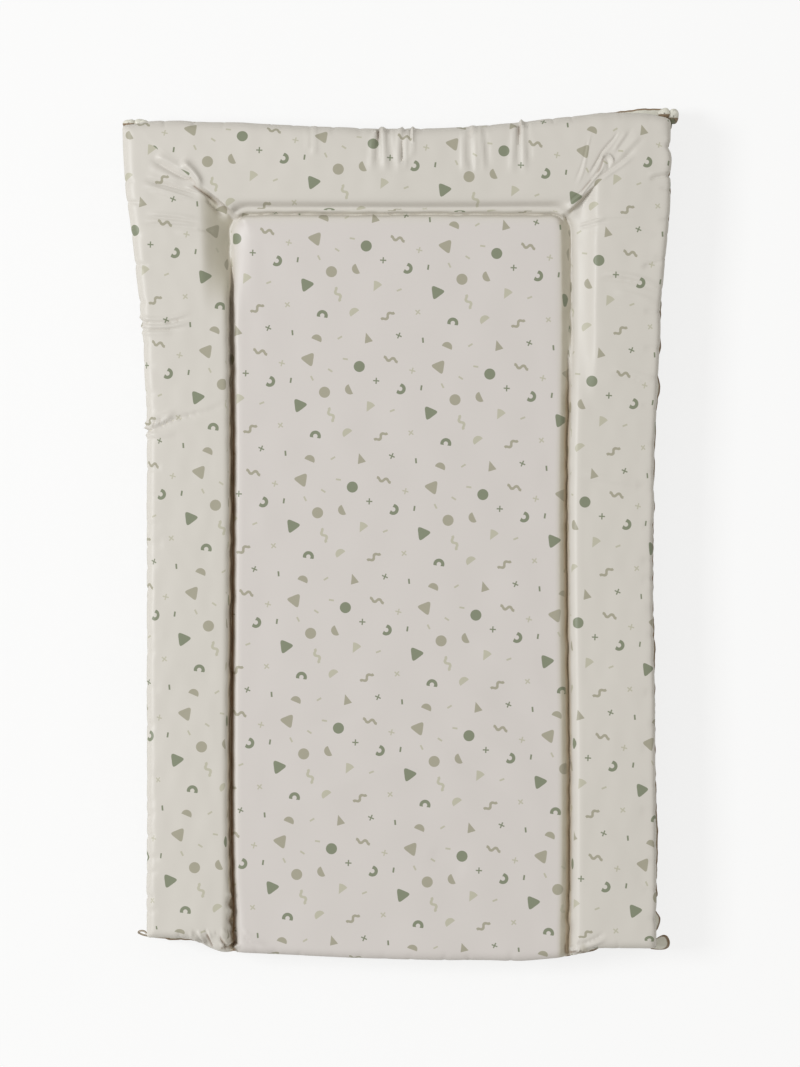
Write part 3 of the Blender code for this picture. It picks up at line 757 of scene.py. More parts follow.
FOLDS = (
    # head corner on the left
    (-2.5, (2.6, 2.8), (1.1, 1), (
        (-225.7, 338.5), (-217.1, 333.7), (-206.3, 327.3), (-198.2, 322.9), (-192.8, 320.7),
        (-188.3, 319.7), (-185.6, 317.4), (-182.5, 312.7),
    )),
    (1.6, (4.5, 3), (3, 2), ((-220.7, 341.9), (-209, 336.1), (-200.9, 331.6), (-193.7, 324.8))),
    (0.9, (3, 4), (2.4, 3), ((-227, 332.5), (-215.3, 326.6), (-204.5, 321.7), (-194.6, 317.2))),
    (4.2, (3.8, 5.4), (2.4, 3.2), (
        (-197.7, 337.9), (-192.2, 332.8), (-186.2, 326.8), (-181.3, 320), (-178.7, 313.8),
        (-178, 311.3),
    )),
    (-1.1, 0.8, 0.8, ((-194.1, 330.7), (-189.2, 326.1), (-184.2, 320.3), (-180.5, 314))),
    (-1.5, 0.8, 0.8, ((-189.6, 316.9), (-182.9, 312), (-178.4, 309.1), (-173, 305.6), (-164.9, 299.8))),
    (-0.9, (3, 1.2), (4.6, 1.6), (
        (-175.7, 307.9), (-167.6, 301.9), (-161.3, 297.1), (-155.9, 292.9), (-148.7, 287),
    )),
    (1, (1, 3), (1, 2.4), ((-193.7, 314), (-184.7, 310), (-178.4, 305.9), (-170.3, 300.1))),
    (-2.2, 0.9, (3.6, 3), (
        (-175.2, 303.7), (-171.2, 299.2), (-165.8, 294.2), (-160.4, 289.7), (-155, 286.1),
    )),
    (-1.9, (1.8, 1.4), (1.3, 1.2), (
        (-232.4, 319.4), (-219.8, 316.4), (-210.8, 314.5), (-202.7, 312.2), (-194.6, 310),
        (-187.4, 308.1), (-175.7, 304.7),
    )),
    (1.5, (1.5, 2.8), (1.2, 2.2), (
        (-232.4, 314.7), (-219.8, 312.2), (-210.8, 309.5), (-201.8, 306.8), (-192.8, 304.1),
        (-181.1, 300.5),
    )),
    (0.8, (2.6, 1.4), (1.8, 1.2), ((-229.7, 324.1), (-217.1, 320.3), (-206.3, 317.2), (-193.7, 313.1))),
    (0.7, (1.6, 1.4), (1.6, 1.4), ((-227, 309.5), (-210.8, 305.5), (-193.7, 299.6))),
    # head corner on the right
    (-2.1, (2.2, 1.2), (1.6, 1), (
        (197.6, 364.9), (193.6, 357.3), (188.2, 351), (182.8, 344.6), (179.2, 338.3), (175.6, 332),
        (168.8, 321.2),
    )),
    (0.9, (1.2, 2.2), (1, 1.6), (
        (199.4, 363.6), (191.6, 351.4), (185.1, 344.2), (181.3, 337), (177.7, 329.8), (172, 320.8),
    )),
    (2.2, (0.9, 1), (0.9, 1), (
        (180.6, 335.2), (182.6, 339.8), (185.9, 341.9), (189.6, 341), (192.1, 337.3), (192, 332),
    )),
    (-1.4, 1.6, 1.6, ((184.1, 339.2), (186.8, 337.4), (188.2, 332), (186.4, 327.5))),
    (-1.1, 0.8, 0.7, (
        (184, 340.6), (182.5, 333.8), (180.1, 328.4), (176.5, 323.9), (171.1, 317.6), (166.6, 312.2),
        (163.2, 308.1), (157.1, 303.6), (149.5, 296.6),
    )),
    (1.2, (0.7, 1.6), (0.8, 1.6), (
        (185.1, 338.3), (183.9, 331.6), (181.3, 326.6), (177.7, 322.1), (172.3, 315.9), (168, 310.6),
        (164.4, 306.1), (158.5, 301.6), (150.4, 294.2),
    )),
    (-1.5, (2.4, 2.2), 1.2, (
        (213.4, 347.3), (207.1, 341.9), (198.1, 334.7), (191.8, 330.2), (184.6, 324.8), (178.3, 321.1),
        (172, 317.1),
    )),
    (0.9, (1.6, 3.2), (1.4, 2.6), (
        (212.5, 341.5), (199.9, 331.6), (191.8, 326.2), (184.6, 321.2), (178.3, 316.3),
    )),
    (0.7, (2.6, 2.2), (1.6, 1.4), ((205.3, 364), (197.2, 351.9), (191.8, 344.2))),
    (-0.7, (2.8, 2.4), (1.8, 1.6), ((210.7, 366.7), (201.2, 352.8), (193.1, 341.5))),
    (0.7, (3, 2.6), (2, 1.8), ((217.9, 361.8), (204.4, 347.3), (193.6, 336.5))),
    (-0.6, 2.6, 2, ((221.5, 356.8), (208.9, 345.5), (199, 336.5))),
    (0.7, (0.9, 3.4), (0.8, 2.8), (
        (173.8, 364.5), (169.8, 349.2), (167.1, 333.8), (164.8, 324.4), (159.2, 311.3),
    )),
    (-0.7, (2.6, 1.2), (2.4, 0.9), (
        (170.2, 360), (166, 340.1), (163.5, 331.1), (160.3, 323.5), (156.5, 314),
    )),
    (0.8, (1.4, 0.8), (1.4, 0.8), ((160.3, 278), (170.2, 280.9), (178.3, 282.9), (187.3, 284.7))),
    (-1, (0.8, 0.9), (0.8, 0.9), ((160.3, 276.2), (172, 278.5), (180.1, 280.3), (190, 281.2))),
    (-0.7, (0.9, 0.8), (0.9, 0.8), ((163, 280.7), (173.8, 283.8), (183.7, 286.3))),
    (0.5, (3, 1.2), (3, 1.2), ((172, 283.4), (190, 285.7), (215.2, 286.1))),
    (-0.4, (1.4, 3), (1.4, 3), ((161.2, 272.1), (186.4, 274.4), (217, 275.1))),
    # left bolster
    (0.9, 1.8, 2.2, ((-230.3, 289), (-215.8, 288.1), (-197.8, 286.4), (-176.2, 282.4))),
    (-1, 1.2, 1.4, ((-229.4, 286), (-214, 285.1), (-196, 283.3), (-178, 280))),
    (0.9, 1.6, 2, ((-233, 282.7), (-215.8, 281.9), (-196, 280.3), (-175.3, 276.9))),
    (-1, 1.2, 1.3, ((-233, 279.6), (-215.8, 278.7), (-196, 277.3), (-175.3, 274.8))),
    (-1.1, 1.1, 1.1, ((-182.6, 275.1), (-174.4, 273.9), (-167.2, 272.8))),
    (0.7, 2.4, 2.6, ((-205.1, 272), (-187, 271), (-165.4, 268.8))),
    (0.5, 2.6, 3.2, ((-196, 105.7), (-176.2, 113.7), (-155.5, 122.8))),
    (-0.5, 2, 2.4, ((-194.2, 101.2), (-175.3, 109.3), (-155.5, 118.3))),
    # right bolster
    (0.5, 2.4, 2.4, ((177.1, 276), (198.8, 275.1), (227.6, 272.4))),
    (1.4, 2, 2, ((178.9, 234.6), (196.9, 234.1), (216.8, 230.1), (238.4, 221))),
    (-1.5, 1.6, 1.4, ((178.9, 230.1), (198.8, 229.6), (216.8, 225.5), (238.4, 216.5))),
    (1, 2.6, 2.2, ((191.5, 218.3), (213.1, 214.7), (236.6, 206.6))),
    (-1, 1.6, 1.5, ((190, 145.5), (206, 142), (222, 136.5), (236, 133))),
    (0.9, 2.2, 2.2, ((188, 149), (206, 146), (222, 141), (236, 137))),
    (0.9, 2.6, 2.6, ((160, 55.2), (180.8, 50.7), (207.8, 46.2), (232.1, 41.6))),
    (-1, 2.2, 2, ((160, 50.7), (180.8, 46.2), (207.8, 41.6), (232.1, 37.2))),
    (-1.9, 1.5, 2.2, ((245.6, 323.8), (235.8, 322.3), (224, 319.3))),
    (-1.9, 1.5, 2.2, ((238.4, 245.4), (229.4, 243.5), (216.8, 239.9))),
    (-1.6, 1.5, 2.2, ((232.1, 41.6), (224, 42.5), (211.4, 46.2))),
    (0.9, 1.8, 2.4, ((245.6, 328.3), (235.8, 326.9), (222.2, 323.8))),
    # slack on the pad
    (0.55, 9, 12, ((63.5, -95.3), (104.1, -120.6), (146.5, -149.4))),
    (-0.45, 8, 10, ((47.3, -120.6), (90.6, -149.4), (141, -181))),
    (0.6, 8, 11, ((27.5, -154.9), (81.6, -190), (144.7, -232.4))),
    (-0.5, 7, 9, ((36.6, -192.7), (83.4, -225.2), (133.9, -263))),
    (0.5, 7, 9, ((41.9, -232.4), (81.6, -259.4), (126.7, -291.8))),
    (-0.7, 10, 12, ((25.7, -286.4), (41.9, -295.4), (61.8, -306.3))),
    (0.4, 10, 12, ((-89.6, -239.5), (-42.8, -223.3), (18.5, -199.9))),
    (-0.35, 9, 10, ((-116.7, -187.2), (-62.6, -169.2), (-6.8, -144))),
    (0.45, 9, 10, ((-62.6, -277.4), (-3.2, -308.1), (63.5, -338.7))),
    (0.35, 9, 12, ((-123.9, -311.6), (-89.6, -334.3), (-44.6, -352.3))),
    # foot ends of the grooves
    (2.4, (1.3, 2.4), (1.1, 1.8), ((-182.4, -357), (-177.9, -363.3), (-173, -372.7))),
    (-2.5, (0.9, 0.8), 0.8, ((-176.1, -355.2), (-172.4, -363.3), (-170.7, -367.8), (-168.5, -375))),
    (2.2, (1.2, 2.4), (1.1, 2), ((-173.9, -357), (-167.6, -366.4), (-160.4, -375.9))),
    (-2.3, (0.9, 0.8), 0.8, ((-167.6, -357), (-161.7, -364.2), (-158, -369.1), (-155.9, -375.9))),
    (2.3, (1, 1.1), (1, 1.1), ((-162.6, -371.8), (-156.8, -368.7), (-152.3, -368.7), (-147.8, -366.5))),
    (-2, 0.8, 0.8, ((-161.3, -373.5), (-155.5, -372.3), (-151.4, -371), (-146.4, -367.8))),
    (2, (1, 1.1), (1, 1.1), ((-155.9, -375.3), (-149.6, -373.5), (-142.8, -371.5))),
    (1.7, 1.5, 1.5, ((-156.6, -322), (-153.4, -326.4), (-150.8, -331.6))),
    (-1.7, 1, 1, ((-156.2, -330.4), (-153.4, -334.6), (-151.2, -339.6))),
    (1.8, 1.6, 1.6, ((-156.4, -337), (-152.8, -341.2), (-149.8, -347.2))),
    (-1.7, 1, 1, ((-156, -345), (-153, -349.4), (-150.6, -354.6))),
    (1.8, 1.6, 1.6, ((-156, -352.6), (-152, -357.4), (-148.6, -363.8))),
    (3, (1, 1.1), (1, 1.1), ((-152.6, -369.6), (-149.4, -372), (-146.4, -372.4), (-143.6, -369.8))),
    (1.6, (1.2, 2.2), (1.1, 1.8), ((-190.1, -358.3), (-184.2, -365.1), (-178.8, -371.8))),
    (-1.6, 1.1, 0.9, ((-187.4, -356.1), (-181.1, -363.7), (-175.7, -372.3))),
    (1.2, 1.5, 1.2, ((-161.3, -354.7), (-155.9, -361), (-151.7, -368.7))),
    (-1.2, 1, 0.9, ((-144.6, -360.6), (-136.5, -366.9), (-123.4, -372.7))),
    (1.2, (1.3, 1.8), (1.2, 1.6), ((-142.4, -356.5), (-133.3, -364.2), (-118.9, -371.4))),
    (-1.8, 1.1, 0.9, ((186.8, -359.2), (170.2, -366.9), (150.8, -373.6))),
    (1.5, (1.4, 1.8), (1.2, 1.6), ((189.1, -363.7), (172, -370.5), (149.5, -377.2))),
    (2, (1.2, 1.4), (1.2, 1.4), ((151.8, -371.6), (157, -374), (165, -375), (174, -376.6))),
    (-1.2, 1.6, 1.6, ((237.2, -328.7), (232.7, -340.2), (229.1, -353.8))),
)
# painted shade along the creases of the bent film, in brown: share, width and points
PAINTED_CREASE_SHADE_LINES = (
    (0.7, 0.6, ((-186.5, 314.7), (-182.9, 312), (-178.4, 309.1), (-173.9, 306.2), (-168.5, 302.7))),
    (0.6, 0.9, ((-181.5, 311.1), (-178.4, 309.1), (-174.8, 306.8), (-170.3, 303.8), (-165.8, 300.5))),
    (0.2, 1.8, ((-176.6, 307.9), (-172.1, 305), (-165.8, 300.5), (-159.5, 295.7), (-150.5, 288.4))),
    (0.25, 0.7, ((-191.9, 320.3), (-187.7, 319.5), (-184.9, 316.7), (-182.5, 312.7))),
    (0.5, 0.6, ((183.5, 338.8), (182.2, 333.4), (180.1, 328.4), (176.5, 323.8))),
    (0.4, 0.6, ((172.9, 319.8), (167.1, 312.9), (162.6, 307.5))),
    (0.4, 0.8, ((-18.7, 365.8), (-19.3, 360), (-19.9, 352.8))),
    (0.4, 0.7, ((3.9, 366.3), (3.6, 360), (3, 352.8))),
    (0.4, 0.7, ((61.2, 366.3), (61.2, 360.9), (61.4, 356.4))),
    (0.35, 0.7, ((65.5, 364.5), (65.4, 360), (65.3, 355.5))),
    (0.35, 0.7, ((107.8, 369), (107.5, 362.7), (107.1, 358.2))),
    (0.5, 0.7, ((-151.6, -324.6), (-150, -330.8), (-151.4, -338.1), (-149.2, -347.1), (-150.8, -354.4))),
    (0.6, 0.8, ((-151.4, -350), (-150.4, -356), (-148.4, -363.5), (-147.4, -370.7))),
    (0.75, 0.8, ((-173.9, -360.6), (-171.3, -366.9), (-168.5, -375))),
    (0.65, 0.8, ((-162.6, -363.3), (-158, -369.1), (-155.9, -376.3))),
    (0.65, 0.7, ((-161.3, -373.2), (-155.5, -372.4), (-150.5, -370.8))),
    (0.75, 0.8, ((150.2, -369.5), (149.6, -374), (150.4, -378.4), (153.6, -381.2))),
    (0.75, 0.8, ((153.4, -377.6), (160.6, -376.2), (168.8, -376.9), (174, -379))),
)


def smooth_line(points, between=6):
    """Points along a curve that passes through the given ones."""
    points = np.array(points, float)
    before = np.concatenate([[2 * points[0] - points[1]], points, [2 * points[-1] - points[-2]]])
    line = []
    for a, b, c, d in zip(before, before[1:], before[2:], before[3:]):
        for share in np.arange(between) / between:
            bend = (2 * a - 5 * b + 4 * c - d) * share**2 + (3 * b - a - 3 * c + d) * share**3
            line.append(0.5 * (2 * b + (c - a) * share + bend))
    return np.array([*line, points[-1]])


def along_line(plan, points, reach):
    """Which points of the plan lie within reach of a curve, how far along it they are as a share, and how
    far from it, which is under 0 on the right of its run."""
    line = smooth_line(np.array(points) / 1000)
    near = np.all((plan > line.min(0) - reach) & (plan < line.max(0) + reach), axis=-1)
    place = plan[near]
    steps = np.linalg.norm(np.diff(line, axis=0), axis=1)
    start = np.concatenate([[0], np.cumsum(steps)])
    best = np.full(len(place), np.inf)
    share, side = np.zeros((2, len(place)))
    for number, step in enumerate(steps):
        way = (line[number + 1] - line[number]) / step
        offset = place - line[number]
        along = np.clip(offset @ way, 0, step)
        away = np.linalg.norm(offset - along[:, None] * way, axis=1)
        closer = away < best
        best = np.where(closer, away, best)
        share = np.where(closer, (start[number] + along) / start[-1], share)
        side = np.where(closer, np.sign(way[0] * offset[:, 1] - way[1] * offset[:, 0]), side)
    return near, share, best * side


FOLD_REACH = 3.2
FOLD_FADES_IN = 0.25
FOLD_FADES_OUT = 0.30
RIDGE_POWER = 1.7
CREASE_POWER = 1.35
CREASE_NARROWING = 1.2


def add_fold(lift, plan, height, at_start, at_end, points, from_seam=False):
    """Adds a ridge, or a crease if its height is under 0, along a curve of the plan."""
    at_start, at_end = np.broadcast_to(at_start, 2), np.broadcast_to(at_end, 2)
    near, share, away = along_line(plan, points, FOLD_REACH * max(*at_start, *at_end) / 1000)
    left, right = (first + (last - first) * share for first, last in zip(at_start, at_end))
    fade = smooth((1 - share) / FOLD_FADES_OUT)
    if not from_seam:
        fade *= smooth(share / FOLD_FADES_IN)
    spread = np.abs(away) * 1000 / np.where(away > 0, left, right)
    falloff = spread**CREASE_POWER * CREASE_NARROWING if height < 0 else spread**RIDGE_POWER
    lift[near] += height / 1000 * fade * np.exp(-falloff)


cover_plan = cover_points[..., :2].reshape(-1, 2)
cover_lift = np.zeros(len(cover_plan))
for fold in FOLDS_FROM_SEAM:
    add_fold(cover_lift, cover_plan, *fold, from_seam=True)
for fold in FOLDS:
    add_fold(cover_lift, cover_plan, *fold)
# painted shade along each crease line
crease_shade = np.zeros(len(cover_plan))
for strength, width, points in PAINTED_CREASE_SHADE_LINES:
    near, share, away = along_line(cover_plan, points, 3 * width / 1000)
    line = strength * smooth(share / 0.1) * smooth((1 - share) / 0.3) * hump(away * 1000, width)
    crease_shade[near] = np.maximum(crease_shade[near], line)

# small gathers all round, where the weld holds the film shorter than the foam pushes it out: how deep
# and long they are in millimetres, how far they stray from square, and how far apart they lie in metres
GATHERS_FROM_CORNER = 0.03
GATHERS_START_OUT = 0.003
SIDE_DEPTHS, SIDE_LENGTHS, SIDE_STRAYS, SIDE_GAPS = (0.5, 1.3), (9, 20), (-4, 4), (0.012, 0.034)
END_DEPTHS, END_LENGTHS, END_STRAYS, END_GAPS = (0.3, 0.9), (7, 14), (-3, 3), (0.014, 0.040)
gathers = np.random.default_rng(11)
for side, edge in ((LEFT, -EDGE_X), (RIGHT, EDGE_X)):
    place = FOOT_Y + GATHERS_FROM_CORNER
    while place < HEAD_Y - GATHERS_FROM_CORNER:
        depth, long = gathers.uniform(*SIDE_DEPTHS), gathers.uniform(*SIDE_LENGTHS)
        start = np.array(stuffed(np.array(edge + side * GATHERS_START_OUT), np.array(place))) * 1000
        end = start + [-side * long, gathers.uniform(*SIDE_STRAYS)]
        middle = (start + end) / 2 + [0, gathers.uniform(-1, 1)]
        add_fold(cover_lift, cover_plan, -depth, 1.8, 2.6, (start, middle, end), from_seam=True)
        place += gathers.uniform(*SIDE_GAPS)
for edge, way in ((FOOT_Y, -1), (HEAD_Y, 1)):
    place = -EDGE_X + GATHERS_FROM_CORNER
    while place < EDGE_X - GATHERS_FROM_CORNER:
        depth, long = gathers.uniform(*END_DEPTHS), gathers.uniform(*END_LENGTHS)
        start = np.array(stuffed(np.array(place), np.array(edge + way * GATHERS_START_OUT))) * 1000
        end = start + [gathers.uniform(*END_STRAYS), -way * long]
        middle = (start + end) / 2
        add_fold(cover_lift, cover_plan, -depth, 1.6, 2.4, (start, middle, end), from_seam=True)
        place += gathers.uniform(*END_GAPS)

# the film is a little uneven everywhere: height, size and seed of its swells
BOLSTER_SWELLS = ((0.00022, 0.050, 3), (0.00009, 0.016, 4))
PAD_SWELL = 0.00030
PAD_SWELL_SIZE = 0.080
PAD_SWELL_SEED = 8
cover_lift = cover_lift.reshape(cover_p.shape)
cover_distance, cover_head_share = groove_distance(cover_p, cover_q)
on_bolster = smooth((cover_distance - 0.010) / 0.012) * (1 - smooth((cover_turn - 0.5) / 0.5))
on_pad = smooth((-cover_distance - 0.012) / 0.020)
soft_x, soft_y = cover_points[..., 0], cover_points[..., 1]
for height, size, seed in BOLSTER_SWELLS:
    cover_lift += height * on_bolster * wander(soft_x, soft_y, size, seed)
cover_lift += PAD_SWELL * on_pad * wander(soft_x + soft_y, soft_y - soft_x, PAD_SWELL_SIZE, PAD_SWELL_SEED)
cover_points += cover_normals * cover_lift[..., None]

cover = made_of("printed_cover", cover_points, crossing_faces(*cover_p.shape))

# The print is laid out on the flat film, so each point keeps its place there: its plan on the pad,
# and beyond the groove the length that went down into the tuck is added.
SIDE_TUCK = 0.026
HEAD_TUCK = 0.017
EDGE_LENGTH = 0.050
# where the tuck's length starts to count, in metres out from the groove, and over what width it comes in
TUCK_FROM = -0.002
TUCK_RUN = 0.007
# the painted shade in the groove, in brown, fades out up the mat: where that starts, over what length and how
# far
GROOVE_SHADE_FADES = {LEFT: (0.060, 0.140, 0.7), RIGHT: (0.110, 0.060, 1)}
GROOVE_SHADE_ENDS = 0.200
GROOVE_SHADE_ENDING = 0.070
# where the groove's painted shade lies, in metres out from the groove
GROOVE_SHADE_MIDDLE = -0.0006
GROOVE_SHADE_WIDTH = 0.0022
# the slopes that face away from the window look yellower, less so low down on the left: width at the
# sides, width and strength at the head, how fast it comes in with the slope, and where on the left
SHADED_WIDTH = 0.024
SHADED_HEAD_WIDTH = 0.0030
SHADED_HEAD = 0.35
SHADED_STEEPNESS = 1.7
SHADED_LOW_LEFT = 0.25
SHADED_LEFT_FROM = 0.170
SHADED_LEFT_RUN = 0.060
INNER_WALL_FROM = 0.0002
INNER_WALL_RUN = 0.0016
WELD_FROM = 0.86
flat_p = np.clip(cover_p, EDGE_ROUNDING - EDGE_X, EDGE_X - EDGE_ROUNDING)
flat_q = np.clip(cover_q, FOOT_Y + EDGE_ROUNDING, HEAD_Y - EDGE_ROUNDING)
film_place = np.stack(stuffed(flat_p, flat_q), axis=-1)
film_place += np.stack([cover_p - flat_p, cover_q - flat_q], axis=-1) / EDGE_ROUNDING * EDGE_LENGTH
cover_bent = bent_distance(cover_p, cover_q)[0] / 1000
wall = smooth((cover_bent - TUCK_FROM) / TUCK_RUN)
tucked = np.stack([np.sign(cover_p) * SIDE_TUCK * wall, HEAD_TUCK * wall], axis=-1)
corners = np.zeros(len(cover.data.loops), np.int32)
cover.data.loops.foreach_get("vertex_index", corners)
for name, spots in (("film", film_place), ("tucked", tucked)):
    film_map = cover.data.uv_layers.new(name=name)
    film_map.data.foreach_set("uv", spots.reshape(-1, 2)[corners].astype(np.float32).reshape(-1))
mitre = (cover_q - GROOVE_Y) / (HEAD_Y - GROOVE_Y) - (np.abs(cover_p) - GROOVE_X) / (EDGE_X - GROOVE_X)
store(cover, "mitre", mitre)
# painted shade in the groove: brown, strongest low down, fading out up the mat and left out at the head
deep = (1 - side_change(cover_p, cover_q, GROOVE_SHADE_FADES)) * (1 - smooth((cover_q - GROOVE_SHADE_ENDS) / GROOVE_SHADE_ENDING))
deep = deep * (1 - cover_head_share)
store(cover, "groove_shade", hump(cover_bent - GROOVE_SHADE_MIDDLE, GROOVE_SHADE_WIDTH, 4) * deep)
store(cover, "inner_wall", smooth((-cover_bent - INNER_WALL_FROM) / INNER_WALL_RUN))
at_side = np.clip(cover_normals[..., 0] * SHADED_STEEPNESS, 0, 1) * hump(cover_bent, SHADED_WIDTH, 4)
up_left = smooth((cover_q - SHADED_LEFT_FROM) / SHADED_LEFT_RUN)
at_side *= np.where(cover_p < 0, SHADED_LOW_LEFT + (1 - SHADED_LOW_LEFT) * up_left, 1)
at_head = SHADED_HEAD * hump(cover_bent - GROOVE_SHADE_MIDDLE, SHADED_HEAD_WIDTH)
store(cover, "shaded", at_side + (at_head - at_side) * cover_head_share)
store(cover, "crease_shade", crease_shade)
store(cover, "weld", smooth((cover_turn - WELD_FROM) / (1 - WELD_FROM)))
give_wall(cover, COVER_FILM, -1)

film = Finish("printed_film", roughness=0.46)
film.shader.inputs["Specular IOR Level"].default_value = 0.32
film_spot = film.place()
film_flat = film.node("UVMap", {"uv_map": "film"}, {})
REPEAT = (118, 109)
PRINT_TURN = math.radians(3.3)
MILLIMETRES = (1000, 1000, 1000)
side_tuck, head_tuck = film.parts(film.node("UVMap", {"uv_map": "tucked"}, {}))
past_mitre = film.stored("mitre").work("GREATER_THAN", 0)
tucks = {"X": side_tuck * (1 - past_mitre), "Y": head_tuck * past_mitre}
print_spot = film.node("CombineXYZ", {}, tucks)
print_spot = film.node("VectorMath", {"operation": "ADD"}, {0: film_flat, 1: print_spot})
turned = {"Vector": print_spot, "Rotation": (0, 0, PRINT_TURN), "Scale": MILLIMETRES}
print_spot = film.node("Mapping", {}, turned)


class Motif:
    """Where a printed shape lies in the repeat, and readings of its own axes in millimetres."""

    def __init__(self, x, y, turn):
        high, low = (REPEAT[0] / 2, REPEAT[1] / 2, 1), (-REPEAT[0] / 2, -REPEAT[1] / 2, -1)
        moved = film.node("VectorMath", {"operation": "SUBTRACT"}, {0: print_spot, 1: (x, y, 0)})
        near = film.node("VectorMath", {"operation": "WRAP"}, {0: moved, 1: high, 2: low})
        settings = {"rotation_type": "Z_AXIS"}
        self.spot = film.node("VectorRotate", settings, {"Vector": near, "Angle": math.radians(turn)})
        self.x, self.y = film.parts(self.spot)

    def away(self, x=0, y=0):
        return film.node("VectorMath", {"operation": "DISTANCE"}, {0: self.spot, 1: (x, y, 0)}, "Value")


def disc(motif):
    return motif.away() - 5.0


def half_disc(motif):
    return (motif.away() - 4.7).work("MAXIMUM", motif.y - 0.6)


def fan(motif):
    sides = abs(motif.x) - (motif.y + 5) * 0.48
    return (motif.away(0, -5) - 9.6).work("SMOOTH_MAX", sides, 0.8)


def pebble(motif):
    """A triangle worn round."""
    slopes = (abs(motif.x) * 0.87).work("SMOOTH_MAX", 0.9, 1.6) + motif.y * 0.5
    return slopes.work("SMOOTH_MAX", motif.y * -1, 5.0) - 4.2


def wedge(motif):
    sides = abs(motif.x) - (5.2 - motif.y) * 0.42
    return sides.work("SMOOTH_MAX", motif.y * -1 - 4, 1.0)


def hook(motif):
    ring = abs(motif.away() - 3.5) - 1.5
    return ring.work("SMOOTH_MAX", motif.x - 1.5, 0.8)


def squiggle(motif):
    wave = (motif.x * 0.78).work("SINE") * 1.35
    slope = (motif.x * 0.78).work("COSINE")
    stroke = abs(motif.y - wave) * (1 - slope * slope * 0.3) - 1.25
    return stroke.work("SMOOTH_MAX", abs(motif.x) - 6.6, 1.0)


def cross(motif):
    x, y = abs(motif.x), abs(motif.y)
    upright = (x - 0.6).work("MAXIMUM", y - 2.8)
    return upright.work("MINIMUM", (x - 2.8).work("MAXIMUM", y - 0.6))


def dash(motif):
    return (abs(motif.x) - 2.3).work("MAXIMUM", abs(motif.y) - 0.8)


INKS = (
    (paint(189, 186, 169), (
        (fan, -34, 4, 25), (squiggle, 50, -5, 58), (half_disc, -52, -21, 140), (cross, 3, 39, 10),
        (cross, 5, -17, 35), (dash, 47, 35, 30), (dash, -13, 2, -25), (dash, 31, 27, 60), (dash, -58, 46, 5),
        (dash, 54, -44, -35),
    )),
    (paint(167, 163, 146), (
        (disc, 43, 15, 0), (pebble, 27, 44, 35), (squiggle, -17, 48, 6), (squiggle, -22, -22, -42),
        (half_disc, -52, 19, 62), (wedge, -39, -43, -20), (half_disc, 33, -47, 200),
    )),
    (paint(132, 138, 117), (
        (disc, -45, 40, 0), (pebble, 21, 2, -40), (hook, -7, 22, 205), (hook, 37, -25, 95),
        (cross, -29, 28, 0), (cross, -11, -39, 20), (dash, 11, -42, 82), (dash, 12, 24, 95),
    )),
)
sheen = film.mottle(film_spot, 7, 3)
film_colour = film.blend(sheen, paint(208, 204, 197), paint(214, 209, 203))
spot_x, spot_y = film.parts(film_spot)
lying_area = film.within(abs(spot_x), 0.152, 0.142) * film.within(spot_y, 0.288, 0.278)
film_colour = film.blend(lying_area * 0.8, film_colour, paint(212, 206, 204))
shaded_wall = film.stored("shaded")
film_colour = film.blend(shaded_wall * 0.75, film_colour, paint(197, 191, 172))
for ink, motifs in INKS:
    outline = None
    for shape, x, y, turn in motifs:
        this = shape(Motif(x, y, turn))
        outline = this if outline is None else outline.work("MINIMUM", this)
    film_colour = film.blend(film.within(outline, 0.12, -0.12), film_colour, ink)
# the groove's painted shade is browner on the pad's side and paler in the right groove than in the left,
# which lies in the left bolster's shadow
groove_shade = film.stored("groove_shade")
in_left = film.within(spot_x, 0.02, -0.02)
inner_wall = film.stored("inner_wall")
groove_shade_tone = film.within(film.mottle(film_spot, 130, 1) * 0.5 + inner_wall * 0.5, 0.3, 0.6)
groove_shade_colour = film.blend(groove_shade_tone, paint(204, 188, 162), paint(164, 124, 84))
groove_shade_colour = film.blend(in_left, paint(198, 184, 161), groove_shade_colour)
film_colour = film.blend(groove_shade * 0.85, film_colour, groove_shade_colour)
# painted shade along the creases, in brown
crease_shade_mask = film.stored("crease_shade")
film_colour = film.blend(crease_shade_mask, film_colour, paint(126, 98, 72))
# the cover is greyer and browner where it turns under towards the weld
toward_weld = film.stored("weld")
film_colour = film.blend(toward_weld * 0.4, film_colour, paint(186, 175, 160))
handling = film.within(film.mottle(film_spot, 38, 5), 0.45, 0.75)
film.cover(
    cover,
    Base_Color=film_colour,
    Roughness=handling * 0.08 + 0.43,
    Normal=film.raised(film.mottle(film_spot, 900), distance=0.00003),
)
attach(cover, "root")
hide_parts("top_cover")

# Weld band
# Both films pressed flat and welded together, then trimmed 8 mm outside the weld. The band stands out
# round the edge, brown where it was cut, and its corners stick out as curled and crumpled ears. Inside
# the scroll and under the knots that brown is painted shade as well.
BAND_PLIES = 0.0007
BAND_WIDTH = 0.0080
BAND_STEP = 0.0016
BAND_CORNER = 0.0015
SEAM_INSET = 0.0040
BAND_OVERLAP = 0.0002
# how the band ripples, in size and seed, and how far: out at its cut edge, and up and down
BAND_RIPPLES = ((0.016, 6), (0.007, 7))
RIPPLES_OUT = (0.0003, 0.00015)
RIPPLES_UP = (0.0006, 0.0004)
BAND_LEAST_SLANT = 1.06
BAND_DROOP = 1.2
